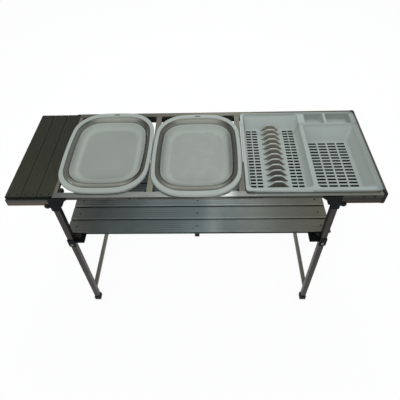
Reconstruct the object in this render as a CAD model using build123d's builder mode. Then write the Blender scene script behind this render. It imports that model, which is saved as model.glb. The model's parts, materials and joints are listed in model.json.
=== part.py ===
from build123d import *
import os

# Folding camping wash-up stand.
# Millimetres, +Z up, origin on the floor under the middle of the stand.
# +X runs to the user's right, -Y is the front where the user stands.

# Main sizes
rail_top = 680.0
frame_depth = 440.0
wing_length = 155.0
bay_1_width = 287.0
bay_2_width = 276.0
bay_3_width = 418.0
post_inset = 141.5

# Bright top frame: flat tubes with a thin web under the inner edge
rail_width = 22.0
rail_height = 11.0
rail_wall = 1.5
web_depth = 18.0
web_thickness = 2.0
left_rail_width = 12.0
member_width = 20.0
member_height = 12.0
connector_ear = 7.0
end_connector_ear = 14.0
end_connector_depth = 22.0
connector_depth = 12.0
connector_floor = 4.0
connector_top_drop = 1.5
cap_length = 14.0
cap_proud = 1.0
cap_corner_radius = 8.0

# Bearers under the overhanging ends of the top frame
bearer_length = 175.0
bearer_height = 25.5
bearer_cap_thickness = 3.0

# Slatted worktop on the left bearers
slat_count = 3
slat_gap = 1.5
slat_thickness = 10.0
slat_wall = 1.5
slat_front_setback = 6.0
slat_back_setback = 3.0
slat_cap_thickness = 2.0
front_rivet_inset = 17.0
back_rivet_inset = 10.0

# Posts and their black brackets
post_size = 20.0
post_wall = 1.5
post_length = 198.5
bracket_plate = 4.0
bracket_cheek = 3.0
bracket_cheek_top = 3.0
bracket_skirt = 22.0
bracket_outer_reach = 10.0
bracket_inner_reach = 38.5
bracket_ear_height = 9.0
bracket_waist = 17.0
bracket_waist_height = 27.0
bracket_neck = 4.0
bracket_boss_radius = 9.0
bracket_boss_out = 13.0
bracket_lug = 12.0

# Lower shelf, set a little to the right as in the photograph
shelf_slat_count = 6
shelf_slat_gap = 5.0
shelf_play = 0.8
shelf_back_gap = 28.5
shelf_end_reach = 9.8
shelf_shift = 6.0
crossbar_height = 16.0
end_crossbar_width = 30.0
end_crossbar_inset = 30.3
middle_crossbar_width = 17.0
middle_crossbar_x = 4.0
crossbar_play = 0.5
crossbar_wall = 1.5

# Elbow brackets and folding legs
elbow_plate = 4.0
elbow_cheek = 3.0
elbow_inner_reach = 38.0
elbow_ledge_depth = 15.0
elbow_cheek_rise = 10.0
leg_play = 0.3
leg_top_gap = 1.8
leg_wall = 1.5
leg_knuckle_length = 16.0
pin_radius = 3.0
pin_play = 0.05
pin_head_radius = 5.0
pin_head_height = 1.5
spreader_size = 15.0
spreader_height = 70.0
foot_wall = 3.3
foot_sole = 4.0
foot_height = 22.0

# Screws and rivets
screw_radius = 2.0
screw_head_radius = 3.2
screw_head_height = 1.2
screw_length = 6.0
screw_play = 0.05
screw_pair_spacing = 33.0
screw_pairs = (0.25, 0.614, 0.946)
fascia_screw_drop = 7.0
bracket_screw_drop = 12.0
bearer_screw_inset = 6.0
rivet_radius = 1.6
rivet_head_radius = 3.0
rivet_head_height = 0.8
rivet_grip = 1.0
rivet_play = 0.05

# Collapsible bowls, drawn flat as they stand in the photograph
bowl_1_back_shift = 4.0
bowl_2_front_shift = 12.5
rim_seat = 16.2
rim_end_gap = 10.7
rim_flange_side = 13.5
rim_flange_end = 20.5
collar_foot = 2.5
skirt_inset_side = 21.5
skirt_inset_end = 24.9
rim_bulge = 13.0
rim_height = 8.0
rim_plate = 2.5
rim_lip = 2.5
skirt_bulge = 11.0
skirt_wall = 2.5
skirt_drop = 4.0
skirt_play = 0.8
slot_length = 22.0
slot_width = 6.0
slot_inset = 11.5
soft_wall = 1.2
soft_gap = 0.3
shoulder_side = 2.6
shoulder_end = 19.3
shoulder_top = 2.0
shoulder_foot = -2.5
fold_bulge = 9.0
fold_depth = 42.0
bead_height = 4.7
band_top_drop = 0.5
band_play = 0.4
pan_play = 0.5
pan_lip_width = 4.5
pan_lip_thickness = 3.0
pan_wall = 2.5
pan_depth = 16.0
floor_inset_side = 40.9
floor_inset_end = 41.7
floor_bulge = 6.0

# Drainer tray, its wells measured from the tray's front left corner at its usual size
tray_usual_width = 423.7
tray_usual_length = 406.0
tray_left_gap = 1.5
tray_right_seat = 10.0
tray_front_gap = 16.0
tray_back_gap = 18.0
tray_corner = 10.0
tray_height = 8.0
tray_plate = 2.5
tray_wall = 2.5
well_depth = 33.0
well_corner = 12.0
left_well_top = ((12.2, 212.5), (14.5, 396.0))
left_well_floor = ((18.2, 201.5), (44.0, 358.0))
right_well_top = ((227.0, 406.5), (14.5, 328.0))
right_well_floor = ((236.0, 383.2), (44.0, 282.0))
cutlery_1_top = ((238.2, 309.2), (337.0, 396.0))
cutlery_2_top = ((317.3, 406.5), (337.0, 396.0))
cutlery_draft = 5.0
cutlery_depth = 16.0
cutlery_corner = 8.0
drain_pitch = 15.05
drain_length = 8.4
drain_depth = 8.0
drain_border = 3.0
first_drain_row = 56.0
left_drain_columns = ((31.0, 53.3), (166.3, 187.6))
left_drain_width = 18.2
left_drain_rows = 20
right_drain_columns = ((256.6, 290.4, 324.2, 358.0),)
right_drain_width = 28.0
right_drain_rows = 15
plate_rib_ends = (77.0, 144.5)
plate_rib_count = 12
first_plate_rib = 56.0
plate_rib_pitch = 26.9
plate_rib_thickness = 7.0
plate_rib_side = 5.0
plate_rib_peak = 25.0
plate_rib_shoulder = (0.36, 23.0)

# Places worked out from the sizes above
member_1_from_left = left_rail_width + bay_1_width + member_width / 2
member_2_from_left = member_1_from_left + member_width + bay_2_width
bay_length = member_2_from_left + member_width / 2 + bay_3_width + rail_width
left_end = -(wing_length + bay_length) / 2
right_end = -left_end
frame_left = left_end + wing_length
front = -frame_depth / 2
back = -front
rail_inner = back - rail_width
rail_bottom = rail_top - rail_height
bearer_bottom = rail_bottom - bearer_height
post_outer = right_end - post_inset
post_inner = post_outer - post_size
post_centre = post_outer - post_size / 2
post_back_face = back - post_size
post_middle_y = back - post_size / 2
post_top = bearer_bottom - bracket_plate
post_foot = post_top - post_length
ledge_bottom = post_foot - elbow_plate
crossbar_top = post_foot + crossbar_height
shelf_top = crossbar_top + slat_thickness
leg_size = post_size - 2 * leg_play
pin_height = ledge_bottom - leg_top_gap - leg_size / 2
shelf_half_length = post_outer + shelf_end_reach
end_crossbar_reach = shelf_half_length - end_crossbar_inset
shelf_front = shelf_play - post_back_face
shelf_pitch = (post_back_face - shelf_back_gap - shelf_front) / shelf_slat_count
shelf_slat_width = shelf_pitch - shelf_slat_gap
crossbar_places = (
    (shelf_shift - end_crossbar_reach, end_crossbar_width, "left"),
    (middle_crossbar_x, middle_crossbar_width, "middle"),
    (shelf_shift + end_crossbar_reach, end_crossbar_width, "right"),
)
rim_half_width = bay_2_width / 2 + rim_seat
rim_half_depth = frame_depth / 2 - rim_end_gap
rim_corner = rim_half_width * 0.7
flange_half_width = rim_half_width - rim_flange_side
flange_half_depth = rim_half_depth - rim_flange_end
flange_corner = flange_half_width * 0.68
skirt_half_width = rim_half_width - skirt_inset_side
skirt_half_depth = rim_half_depth - skirt_inset_end
skirt_corner = skirt_half_width * 0.66
hole_width = skirt_half_width - skirt_wall
hole_depth = skirt_half_depth - skirt_wall
hole_corner = skirt_corner - skirt_wall
fold_half_width = hole_width - shoulder_side
fold_half_depth = hole_depth - shoulder_end
fold_corner = fold_half_width * 0.6
band_half_width = fold_half_width - soft_wall - band_play
band_half_depth = fold_half_depth - soft_wall - band_play
band_corner = fold_corner - soft_wall - band_play
pan_half_width = band_half_width - soft_wall - pan_play
pan_half_depth = band_half_depth - soft_wall - pan_play
pan_corner = band_corner - soft_wall - pan_play
floor_half_width = pan_half_width - floor_inset_side
floor_half_depth = pan_half_depth - floor_inset_end
floor_corner = floor_half_width * 0.54
bowl_1_place = (frame_left + left_rail_width + skirt_play + skirt_half_width, bowl_1_back_shift)
bowl_2_place = (frame_left + (member_1_from_left + member_2_from_left) / 2, -bowl_2_front_shift)
tray_left = frame_left + member_2_from_left + member_width / 2 + tray_left_gap
tray_x = (tray_left, right_end - rail_width + tray_right_seat)
tray_y = (front + tray_front_gap, back - tray_back_gap)
stretch_x = (tray_x[1] - tray_x[0]) / tray_usual_width
stretch_y = (tray_y[1] - tray_y[0]) / tray_usual_length
bracket_foot = post_top - bracket_skirt
slat_pitch = wing_length / slat_count


def block(x, y, z, mode=Mode.ADD):
    """A plain block between two corners, given as pairs in any order."""
    with BuildSketch(Plane.XY.offset(min(z))) as base:
        with Locations(((x[0] + x[1]) / 2, (y[0] + y[1]) / 2)):
            Rectangle(abs(x[1] - x[0]), abs(y[1] - y[0]))
    extrude(base.sketch, amount=abs(z[1] - z[0]), mode=mode)


def peg(x, y, z, radius, mode=Mode.ADD):
    """A round bar along Y between two values of y."""
    with BuildSketch(Plane.XZ.offset(-max(y))) as end:
        with Locations((x, z)):
            Circle(radius)
    extrude(end.sketch, amount=abs(y[1] - y[0]), mode=mode)


def upright(x, y, z, radius, mode=Mode.ADD):
    """A round bar along Z between two values of z."""
    with BuildSketch(Plane.XY.offset(min(z))) as end:
        with Locations((x, y)):
            Circle(radius)
    extrude(end.sketch, amount=abs(z[1] - z[0]), mode=mode)


def side_plate(points, y, mode=Mode.ADD):
    """A plate in the XZ plane with the given outline, between two values of y."""
    with BuildSketch(Plane.XZ.offset(-max(y))) as face:
        with BuildLine():
            Polyline(*points, close=True)
        make_face()
    extrude(face.sketch, amount=abs(y[1] - y[0]), mode=mode)


def keep(piece, name):
    """Labels a finished piece and writes it."""
    piece.part.label = name
    export_step(piece.part, "parts/" + name + ".step")


def bracket_screw_places(end, side):
    """Where the two screws of one leg bracket go, as x, y of the head's seat, and z."""
    seat = side * (back + bracket_cheek)
    low = (end * post_centre, seat, post_top - bracket_screw_drop)
    high = (end * (post_inner - bearer_screw_inset), seat, rail_bottom - bearer_height / 2)
    return (low, high)


def fascia_screw_places():
    """Pairs of screws along the front face of the front rail."""
    places = []
    for pair in screw_pairs:
        for offset in (-screw_pair_spacing / 2, screw_pair_spacing / 2):
            places.append((frame_left + pair * bay_length + offset, front, rail_top - fascia_screw_drop))
    return places


def worktop_rivet_places():
    """Two rivets near each end of each worktop slat."""
    front_row = front + front_rivet_inset
    back_row = back - back_rivet_inset
    top = rail_bottom + slat_thickness
    places = []
    for index in range(slat_count):
        middle = left_end + (index + 0.5) * slat_pitch
        for x in (middle - slat_pitch / 4, middle + slat_pitch / 4):
            places.append((x, front_row, top))
            places.append((x, back_row, top))
    return places


def shelf_slat_middle(index):
    """Y of the middle line of one shelf slat, counted from the front."""
    return shelf_front + shelf_slat_width / 2 + index * shelf_pitch


def shelf_rivet_places():
    """One rivet where each shelf slat crosses each crossbar."""
    places = []
    for index in range(shelf_slat_count):
        for x, width, name in crossbar_places:
            places.append((x, shelf_slat_middle(index), shelf_top))
    return places


def rivet_holes(places):
    """Cuts the holes of rivets that stand at the given places."""
    for x, y, top in places:
        depth = slat_thickness + rivet_grip + crossbar_wall
        upright(x, y, (top - depth, top), rivet_radius + rivet_play, Mode.SUBTRACT)


def screw_hole(x, y, z, side):
    """Cuts the hole of one screw that is driven inwards along Y."""
    peg(x, (y, y - side * screw_length), z, screw_radius + screw_play, Mode.SUBTRACT)


os.makedirs("parts", exist_ok=True)

# Front and back rails
for side, name in ((-1, "front_rail"), (1, "back_rail")):
    with BuildPart() as rail:
        length = (frame_left, right_end - cap_length)
        block(length, (side * rail_inner, side * back), (rail_bottom, rail_top))
        hollow_y = (side * (rail_inner + rail_wall), side * (back - rail_wall))
        hollow_z = (rail_bottom + rail_wall, rail_top - rail_wall)
        block(length, hollow_y, hollow_z, Mode.SUBTRACT)
        web_y = (side * rail_inner, side * (rail_inner + web_thickness))
        block(length, web_y, (rail_bottom - web_depth, rail_bottom))
        if side == -1:
            for x, y, z in fascia_screw_places():
                screw_hole(x, y, z, side)
    keep(rail, name)

# End rails of the bright frame
with BuildPart() as left_end_rail:
    end_x = (frame_left, frame_left + left_rail_width)
    block(end_x, (-rail_inner, rail_inner), (rail_bottom, rail_top))
    hollow_x = (end_x[0] + rail_wall, end_x[1] - rail_wall)
    hollow_z = (rail_bottom + rail_wall, rail_top - rail_wall)
    block(hollow_x, (-rail_inner, rail_inner), hollow_z, Mode.SUBTRACT)
keep(left_end_rail, "left_end_rail")

with BuildPart() as right_end_rail:
    end_x = (right_end - rail_width, right_end)
    block(end_x, (-rail_inner, rail_inner), (rail_bottom, rail_top))
    hollow_x = (end_x[0] + rail_wall, end_x[1] - rail_wall)
    hollow_z = (rail_bottom + rail_wall, rail_top - rail_wall)
    block(hollow_x, (-rail_inner, rail_inner), hollow_z, Mode.SUBTRACT)
keep(right_end_rail, "right_end_rail")

# Cross members between the bays
member_bottom = rail_top - member_height
member_places = (frame_left + member_1_from_left, frame_left + member_2_from_left)
for number, x in enumerate(member_places, 1):
    with BuildPart() as member:
        half = member_width / 2
        block((x - half, x + half), (-rail_inner, rail_inner), (member_bottom, rail_top))
        inner = half - rail_wall
        hollow_z = (member_bottom + rail_wall, rail_top - rail_wall)
        block((x - inner, x + inner), (-rail_inner, rail_inner), hollow_z, Mode.SUBTRACT)
    keep(member, "cross_member_" + str(number))

# Black saddles that join the cross members and the left end rail to the long rails
with BuildPart() as connectors:
    for side in (-1, 1):
        reach = (side * (rail_inner - connector_depth), side * rail_inner)
        for x in member_places:
            half = member_width / 2
            ear = half + connector_ear
            z = (member_bottom - connector_floor, rail_top - connector_top_drop)
            block((x - ear, x + ear), reach, z)
            block((x - half, x + half), reach, (member_bottom, rail_top), Mode.SUBTRACT)
        ear_x = (frame_left + left_rail_width, frame_left + left_rail_width + end_connector_ear)
        ear_y = (side * (rail_inner - end_connector_depth), side * rail_inner)
        ear_z = (member_bottom - connector_floor, rail_top - connector_top_drop)
        block(ear_x, ear_y, ear_z)
keep(connectors, "member_connectors")

# Bearers: square tubes that carry the worktop slats and stiffen the overhangs
for end, side, name in (
    (-1, -1, "bearer_front_left"),
    (-1, 1, "bearer_back_left"),
    (1, -1, "bearer_front_right"),
    (1, 1, "bearer_back_right"),
):
    with BuildPart() as bearer:
        cap = bearer_cap_thickness if end == -1 else cap_length
        x = (end * (right_end - bearer_length), end * (right_end - cap))
        y = (side * post_back_face, side * back)
        block(x, y, (bearer_bottom, rail_bottom))
        hollow_y = (side * (post_back_face + post_wall), side * (back - post_wall))
        hollow_z = (bearer_bottom + post_wall, rail_bottom - post_wall)
        block(x, hollow_y, hollow_z, Mode.SUBTRACT)
        place = bracket_screw_places(end, side)[1]
        screw_hole(place[0], place[1], place[2], side)
        if end == -1:
            rivet_holes([p for p in worktop_rivet_places() if p[1] * side > 0])
    keep(bearer, name)

# End caps of the left bearers, and rounded caps over the right ends of the rails and bearers
with BuildPart() as corner_caps:
    for side in (-1, 1):
        x = (left_end, left_end + bearer_cap_thickness)
        y = (side * post_back_face, side * back)
        block(x, y, (bearer_bottom, rail_bottom))
        plug_x = (x[1], x[1] + post_wall * 4)
        plug_y = (side * (post_back_face + post_wall), side * (back - post_wall))
        block(plug_x, plug_y, (bearer_bottom + post_wall, rail_bottom - post_wall))
        with BuildSketch(Plane.XY.offset(bearer_bottom - cap_proud)) as cap_face:
            x0 = right_end - cap_length
            x1 = right_end
            y0 = side * rail_inner
            y1 = side * (back + cap_proud)
            with BuildLine():
                Line((x0, y0), (x0, y1))
                Line((x0, y1), (x1 - cap_corner_radius, y1))
                RadiusArc(
                    (x1 - cap_corner_radius, y1),
                    (x1, y1 - side * cap_corner_radius),
                    side * cap_corner_radius,
                )
                Line((x1, y1 - side * cap_corner_radius), (x1, y0))
                Line((x1, y0), (x0, y0))
            make_face()
        extrude(cap_face.sketch, amount=rail_top - bearer_bottom + cap_proud)
keep(corner_caps, "corner_caps")

# Worktop slats with black end caps
slat_y = (front + slat_front_setback + slat_cap_thickness, back - slat_back_setback - slat_cap_thickness)
slat_z = (rail_bottom, rail_bottom + slat_thickness)
for index in range(slat_count):
    with BuildPart() as worktop_slat:
        x = (
            left_end + index * slat_pitch + slat_gap / 2,
            left_end + (index + 1) * slat_pitch - slat_gap / 2,
        )
        block(x, slat_y, slat_z)
        hollow_x = (x[0] + slat_wall, x[1] - slat_wall)
        hollow_z = (slat_z[0] + slat_wall, slat_z[1] - slat_wall)
        block(hollow_x, slat_y, hollow_z, Mode.SUBTRACT)
        rivet_holes([p for p in worktop_rivet_places() if x[0] < p[0] < x[1]])
    keep(worktop_slat, "worktop_slat_" + str(index + 1))

with BuildPart() as slat_caps:
    for index in range(slat_count):
        x = (
            left_end + index * slat_pitch + slat_gap / 2,
            left_end + (index + 1) * slat_pitch - slat_gap / 2,
        )
        block(x, (slat_y[0] - slat_cap_thickness, slat_y[0]), slat_z)
        block(x, (slat_y[1], slat_y[1] + slat_cap_thickness), slat_z)
keep(slat_caps, "worktop_slat_caps")

corners = (
    (-1, -1, "front_left"),
    (-1, 1, "back_left"),
    (1, -1, "front_right"),
    (1, 1, "back_right"),
)

# Black brackets that hold the posts under the bearers
for end, side, name in corners:
    with BuildPart() as bracket:
        x_out = end * (post_outer + bracket_outer_reach)
        x_in = end * (post_inner - bracket_inner_reach)
        y = (side * (post_back_face - bracket_cheek), side * (back + bracket_cheek))
        neck_out = end * (post_outer + bracket_cheek)
        waist_in = end * (post_inner - bracket_waist)
        block((x_out, waist_in), y, (post_top, bearer_bottom))
        neck_in = end * (post_inner - bracket_neck)
        outer_y = (side * back, side * (back + bracket_cheek))
        outer_shape = [
            (neck_out, rail_top - bracket_cheek_top),
            (x_in, rail_top - bracket_cheek_top),
            (x_in, rail_top - bracket_ear_height),
            (waist_in, rail_top - bracket_waist_height),
            (neck_in, bracket_foot),
            (neck_out, bracket_foot),
        ]
        side_plate(outer_shape, outer_y)
        boss_x = end * (post_outer + bracket_boss_out)
        peg(boss_x, outer_y, post_top, bracket_boss_radius)
        block((boss_x, neck_out), outer_y, (post_top - bracket_lug / 2, post_top + bracket_lug / 2))
        inner_y = (side * (post_back_face - bracket_cheek), side * post_back_face)
        inner_top = rail_bottom - web_depth
        inner_shape = [
            (neck_out, inner_top),
            (waist_in, inner_top),
            (waist_in, post_top),
            (neck_in, bracket_foot),
            (neck_out, bracket_foot),
        ]
        side_plate(inner_shape, inner_y)
        block((end * post_outer, neck_out), y, (bracket_foot, post_top))
        for x, seat, z in bracket_screw_places(end, side):
            screw_hole(x, seat, z, side)
    keep(bracket, "leg_bracket_" + name)

# Posts between the top brackets and the elbow brackets
for end, side, name in corners:
    with BuildPart() as post:
        x = (end * post_inner, end * post_outer)
        y = (side * post_back_face, side * back)
        block(x, y, (post_foot, post_top))
        hollow_x = (end * (post_inner + post_wall), end * (post_outer - post_wall))
        hollow_y = (side * (post_back_face + post_wall), side * (back - post_wall))
        block(hollow_x, hollow_y, (post_foot, post_top), Mode.SUBTRACT)
        place = bracket_screw_places(end, side)[0]
        screw_hole(place[0], place[1], place[2], side)
    keep(post, "post_" + name)

# Screws of the fascia and of the leg brackets
with BuildPart() as screws:
    for x, y, z in fascia_screw_places():
        peg(x, (y - screw_head_height, y), z, screw_head_radius)
        peg(x, (y, y + screw_length), z, screw_radius)
    for end, side, name in corners:
        for x, y, z in bracket_screw_places(end, side):
            peg(x, (y, y + side * screw_head_height), z, screw_head_radius)
            peg(x, (y - side * screw_length, y), z, screw_radius)
keep(screws, "frame_screws")

# Shelf slats along X on three crossbars
for index in range(shelf_slat_count):
    with BuildPart() as shelf_slat:
        middle = shelf_slat_middle(index)
        y = (middle - shelf_slat_width / 2, middle + shelf_slat_width / 2)
        x = (shelf_shift - shelf_half_length, shelf_shift + shelf_half_length)
        block(x, y, (crossbar_top, shelf_top))
        hollow_y = (y[0] + slat_wall, y[1] - slat_wall)
        hollow_z = (crossbar_top + slat_wall, shelf_top - slat_wall)
        block(x, hollow_y, hollow_z, Mode.SUBTRACT)
        rivet_holes([p for p in shelf_rivet_places() if p[1] == middle])
    keep(shelf_slat, "shelf_slat_" + str(index + 1))

for x, width, name in crossbar_places:
    with BuildPart() as crossbar:
        span = (crossbar_play - post_back_face, post_back_face - crossbar_play)
        block((x - width / 2, x + width / 2), span, (post_foot, crossbar_top))
        inner = width / 2 - crossbar_wall
        hollow_z = (post_foot + crossbar_wall, crossbar_top - crossbar_wall)
        block((x - inner, x + inner), span, hollow_z, Mode.SUBTRACT)
        rivet_holes([p for p in shelf_rivet_places() if p[0] == x])
    keep(crossbar, "shelf_crossbar_" + name)

# Rivets of the worktop and of the shelf
with BuildPart() as rivets:
    for x, y, top in worktop_rivet_places() + shelf_rivet_places():
        upright(x, y, (top, top + rivet_head_height), rivet_head_radius)
        grip = slat_thickness + crossbar_wall + rivet_grip
        upright(x, y, (top - grip, top), rivet_radius)
keep(rivets, "rivets")

# Elbow brackets: they hold the shelf and carry the hinge of the folding legs
elbow_bottom = pin_height - leg_size / 2 - elbow_cheek
elbow_top = post_foot + elbow_cheek_rise
for end, side, name in corners:
    with BuildPart() as elbow:
        y = (side * (post_back_face - elbow_cheek), side * (back + elbow_cheek))
        x_out = end * (post_outer + elbow_cheek)
        x_in = end * (post_inner - elbow_cheek)
        ledge_in = end * (post_inner - elbow_inner_reach)
        ledge_y = (side * (post_back_face - elbow_ledge_depth), y[1])
        block((x_out, ledge_in), ledge_y, (ledge_bottom, post_foot))
        block((x_out, x_in), (side * back, y[1]), (elbow_bottom, elbow_top))
        block((x_out, x_in), (y[0], side * post_back_face), (elbow_bottom, ledge_bottom))
        block((x_out, end * post_outer), (side * post_back_face, y[1]), (elbow_bottom, elbow_top))
        peg(end * post_centre, y, pin_height, pin_radius, Mode.SUBTRACT)
    keep(elbow, "elbow_bracket_" + name)

# Hinge pins, fixed in the elbow brackets
with BuildPart() as pins:
    for end, side, name in corners:
        x = end * post_centre
        inside = side * (post_back_face - elbow_cheek)
        outside = side * (back + elbow_cheek)
        peg(x, (inside, outside), pin_height, pin_radius)
        peg(x, (inside - side * pin_head_height, inside), pin_height, pin_head_radius)
        peg(x, (outside, outside + side * pin_head_height), pin_height, pin_head_radius)
keep(pins, "hinge_pins")

# Folding legs, each with a solid round knuckle on its pin
for end, side, name in corners:
    with BuildPart() as leg:
        half = leg_size / 2
        x = (end * post_centre - half, end * post_centre + half)
        y = (side * post_middle_y - half, side * post_middle_y + half)
        block(x, y, (foot_sole, pin_height))
        peg(end * post_centre, y, pin_height, half)
        hollow_x = (x[0] + leg_wall, x[1] - leg_wall)
        hollow_y = (y[0] + leg_wall, y[1] - leg_wall)
        block(hollow_x, hollow_y, (foot_sole, pin_height - leg_knuckle_length), Mode.SUBTRACT)
        peg(end * post_centre, y, pin_height, pin_radius + pin_play, Mode.SUBTRACT)
    keep(leg, "leg_" + name)

# One spreader bar and a pair of rubber feet for each leg frame
for end, name in ((-1, "left"), (1, "right")):
    with BuildPart() as spreader:
        x = (end * post_centre - spreader_size / 2, end * post_centre + spreader_size / 2)
        reach = post_middle_y - leg_size / 2
        z = (spreader_height, spreader_height + spreader_size)
        block(x, (-reach, reach), z)
        hollow_x = (x[0] + leg_wall, x[1] - leg_wall)
        block(hollow_x, (-reach, reach), (z[0] + leg_wall, z[1] - leg_wall), Mode.SUBTRACT)
    keep(spreader, "spreader_" + name)
    with BuildPart() as feet:
        for side in (-1, 1):
            half = leg_size / 2
            outer = half + foot_wall
            x = end * post_centre
            y = side * post_middle_y
            block((x - outer, x + outer), (y - outer, y + outer), (0.0, foot_height))
            pocket_z = (foot_sole, foot_height)
            block((x - half, x + half), (y - half, y + half), pocket_z, Mode.SUBTRACT)
    keep(feet, "feet_" + name)


def bowl_face(place, z, half_width, half_depth, bulge, corner):
    """A rounded rectangle whose four sides bow outwards, at height z."""
    x, y = place
    a = half_width - bulge
    b = half_depth - bulge
    with BuildSketch(Plane.XY.offset(z)) as face:
        with BuildLine():
            ThreePointArc((x - a, y - b), (x, y - half_depth), (x + a, y - b))
            ThreePointArc((x + a, y - b), (x + half_width, y), (x + a, y + b))
            ThreePointArc((x + a, y + b), (x, y + half_depth), (x - a, y + b))
            ThreePointArc((x - a, y + b), (x - half_width, y), (x - a, y - b))
        make_face()
        fillet(face.vertices(), corner)
    return face.sketch


def bowl_slab(place, z, half_width, half_depth, bulge, corner, mode=Mode.ADD):
    """The bowl outline of one size, extruded between two heights."""
    face = bowl_face(place, min(z), half_width, half_depth, bulge, corner)
    extrude(face, amount=abs(z[1] - z[0]), mode=mode)


def pan_faces(place, grow, drop):
    """Sections of the pan's dish: steep under the lip, flat at the floor."""
    lip_width = pan_half_width - pan_lip_width
    lip_depth = pan_half_depth - pan_lip_width
    faces = []
    for steep, flat in ((0.0, 0.0), (0.14, 0.5), (0.5, 0.87), (1.0, 1.0)):
        half_width = lip_width + steep * (floor_half_width - lip_width) + grow
        half_depth = lip_depth + steep * (floor_half_depth - lip_depth) + grow
        bulge = fold_bulge + steep * (floor_bulge - fold_bulge)
        corner = pan_corner + steep * (floor_corner - pan_corner)
        z = rail_top - flat * pan_depth - drop
        faces.append(bowl_face(place, z, half_width, half_depth, bulge, corner))
    return faces


for number, place in ((1, bowl_1_place), (2, bowl_2_place)):
    prefix = "bowl_" + str(number)
    rim_top = rail_top + rim_height

    # Hard rim that hangs on the rails: flange, sloping collar, skirt and a slot to hang the bowl up
    with BuildPart() as rim:
        bowl_slab(place, (rail_top, rim_top), rim_half_width, rim_half_depth, rim_bulge, rim_corner)
        under = (rail_top, rim_top - rim_plate)
        inside_width = rim_half_width - rim_lip
        inside_depth = rim_half_depth - rim_lip
        corner = rim_corner - rim_lip
        bowl_slab(place, under, inside_width, inside_depth, rim_bulge, corner, Mode.SUBTRACT)
        collar_width = flange_half_width + rim_lip
        collar_depth = flange_half_depth + rim_lip
        collar_corner = flange_corner + rim_lip
        bowl_slab(place, (rail_top, rim_top), collar_width, collar_depth, skirt_bulge, collar_corner)
        skirt_z = (rail_top - skirt_drop, rail_top)
        bowl_slab(place, skirt_z, skirt_half_width, skirt_half_depth, skirt_bulge, skirt_corner)
        foot = rail_top + collar_foot
        dish = [
            bowl_face(place, foot, hole_width, hole_depth, skirt_bulge, hole_corner),
            bowl_face(place, rim_top, flange_half_width, flange_half_depth, skirt_bulge, flange_corner),
        ]
        loft(dish, ruled=True, mode=Mode.SUBTRACT)
        hole_z = (rail_top - skirt_drop, foot)
        bowl_slab(place, hole_z, hole_width, hole_depth, skirt_bulge, hole_corner, Mode.SUBTRACT)
        with BuildSketch(Plane.XY.offset(rim_top - rim_plate)) as slot:
            with Locations((place[0], place[1] + rim_half_depth - slot_inset)):
                SlotOverall(slot_length, slot_width)
        extrude(slot.sketch, amount=rim_plate, mode=Mode.SUBTRACT)
    keep(rim, prefix + "_rim")

    # Soft wall: a shoulder under the rim, then straight down to the fold
    with BuildPart() as soft:
        top_width = hole_width - soft_gap
        top_depth = hole_depth - soft_gap
        top_corner = hole_corner - soft_gap
        shoulder_width = fold_half_width + soft_wall
        shoulder_depth = fold_half_depth + soft_wall
        rise = shoulder_top - shoulder_foot
        lean_x = soft_wall * (top_width - shoulder_width + rise) / rise
        lean_y = soft_wall * (top_depth - shoulder_depth + rise) / rise
        z_top = rail_top + shoulder_top
        z_foot = rail_top + shoulder_foot
        z_fold = rail_top - fold_depth
        outside = [
            bowl_face(place, z_top, top_width, top_depth, skirt_bulge, top_corner),
            bowl_face(place, z_foot, shoulder_width, shoulder_depth, fold_bulge, fold_corner + soft_wall),
            bowl_face(place, z_fold, fold_half_width, fold_half_depth, fold_bulge, fold_corner),
        ]
        loft(outside, ruled=True)
        inner_width = fold_half_width - soft_wall
        inner_depth = fold_half_depth - soft_wall
        inner_corner = fold_corner - soft_wall
        throat_width = shoulder_width - soft_wall
        throat_depth = shoulder_depth - soft_wall
        inside = [
            bowl_face(place, z_top, top_width - lean_x, top_depth - lean_y, skirt_bulge, top_corner),
            bowl_face(place, z_foot + soft_wall, throat_width, throat_depth, fold_bulge, fold_corner),
            bowl_face(place, z_fold, inner_width, inner_depth, fold_bulge, inner_corner),
        ]
        loft(inside, ruled=True, mode=Mode.SUBTRACT)
    keep(soft, prefix + "_soft_wall")

    # Fold band: the moulded bead at the fold and the wall that rises inside it to the pan
    with BuildPart() as fold_band:
        bead_z = (z_fold - soft_gap - bead_height, z_fold - soft_gap)
        bowl_slab(place, bead_z, fold_half_width, fold_half_depth, fold_bulge, fold_corner)
        band_z = (bead_z[0], rail_top - band_top_drop)
        bowl_slab(place, band_z, band_half_width, band_half_depth, fold_bulge, band_corner)
        hole_x = band_half_width - soft_wall
        hole_y = band_half_depth - soft_wall
        bowl_slab(place, band_z, hole_x, hole_y, fold_bulge, band_corner - soft_wall, Mode.SUBTRACT)
    keep(fold_band, prefix + "_fold_band")

    # Hard base pan that travels down inside the fold band: its lip and wall, then its floor
    floor_z = (rail_top - pan_depth - pan_wall, rail_top - pan_depth)
    floor_size = (floor_half_width, floor_half_depth, floor_bulge, floor_corner)
    with BuildPart() as pan:
        lip_z = (rail_top - pan_lip_thickness, rail_top)
        bowl_slab(place, lip_z, pan_half_width, pan_half_depth, fold_bulge, pan_corner)
        loft(pan_faces(place, pan_wall, pan_wall), ruled=True)
        loft(pan_faces(place, 0.0, 0.0), ruled=True, mode=Mode.SUBTRACT)
        bowl_slab(place, floor_z, *floor_size, Mode.SUBTRACT)
    keep(pan, prefix + "_base_pan")

    with BuildPart() as pan_floor:
        bowl_slab(place, floor_z, *floor_size)
    keep(pan_floor, prefix + "_pan_floor")


def tray_rectangle(area, z, grow, corner):
    """A rounded rectangle at height z for an area given from the tray's corner."""
    x0, x1 = (tray_x[0] + stretch_x * value for value in area[0])
    y0, y1 = (tray_y[0] + stretch_y * value for value in area[1])
    with BuildSketch(Plane.XY.offset(z)) as face:
        with Locations(((x0 + x1) / 2, (y0 + y1) / 2)):
            RectangleRounded(x1 - x0 + 2 * grow, y1 - y0 + 2 * grow, corner + grow)
    return face.sketch


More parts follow.
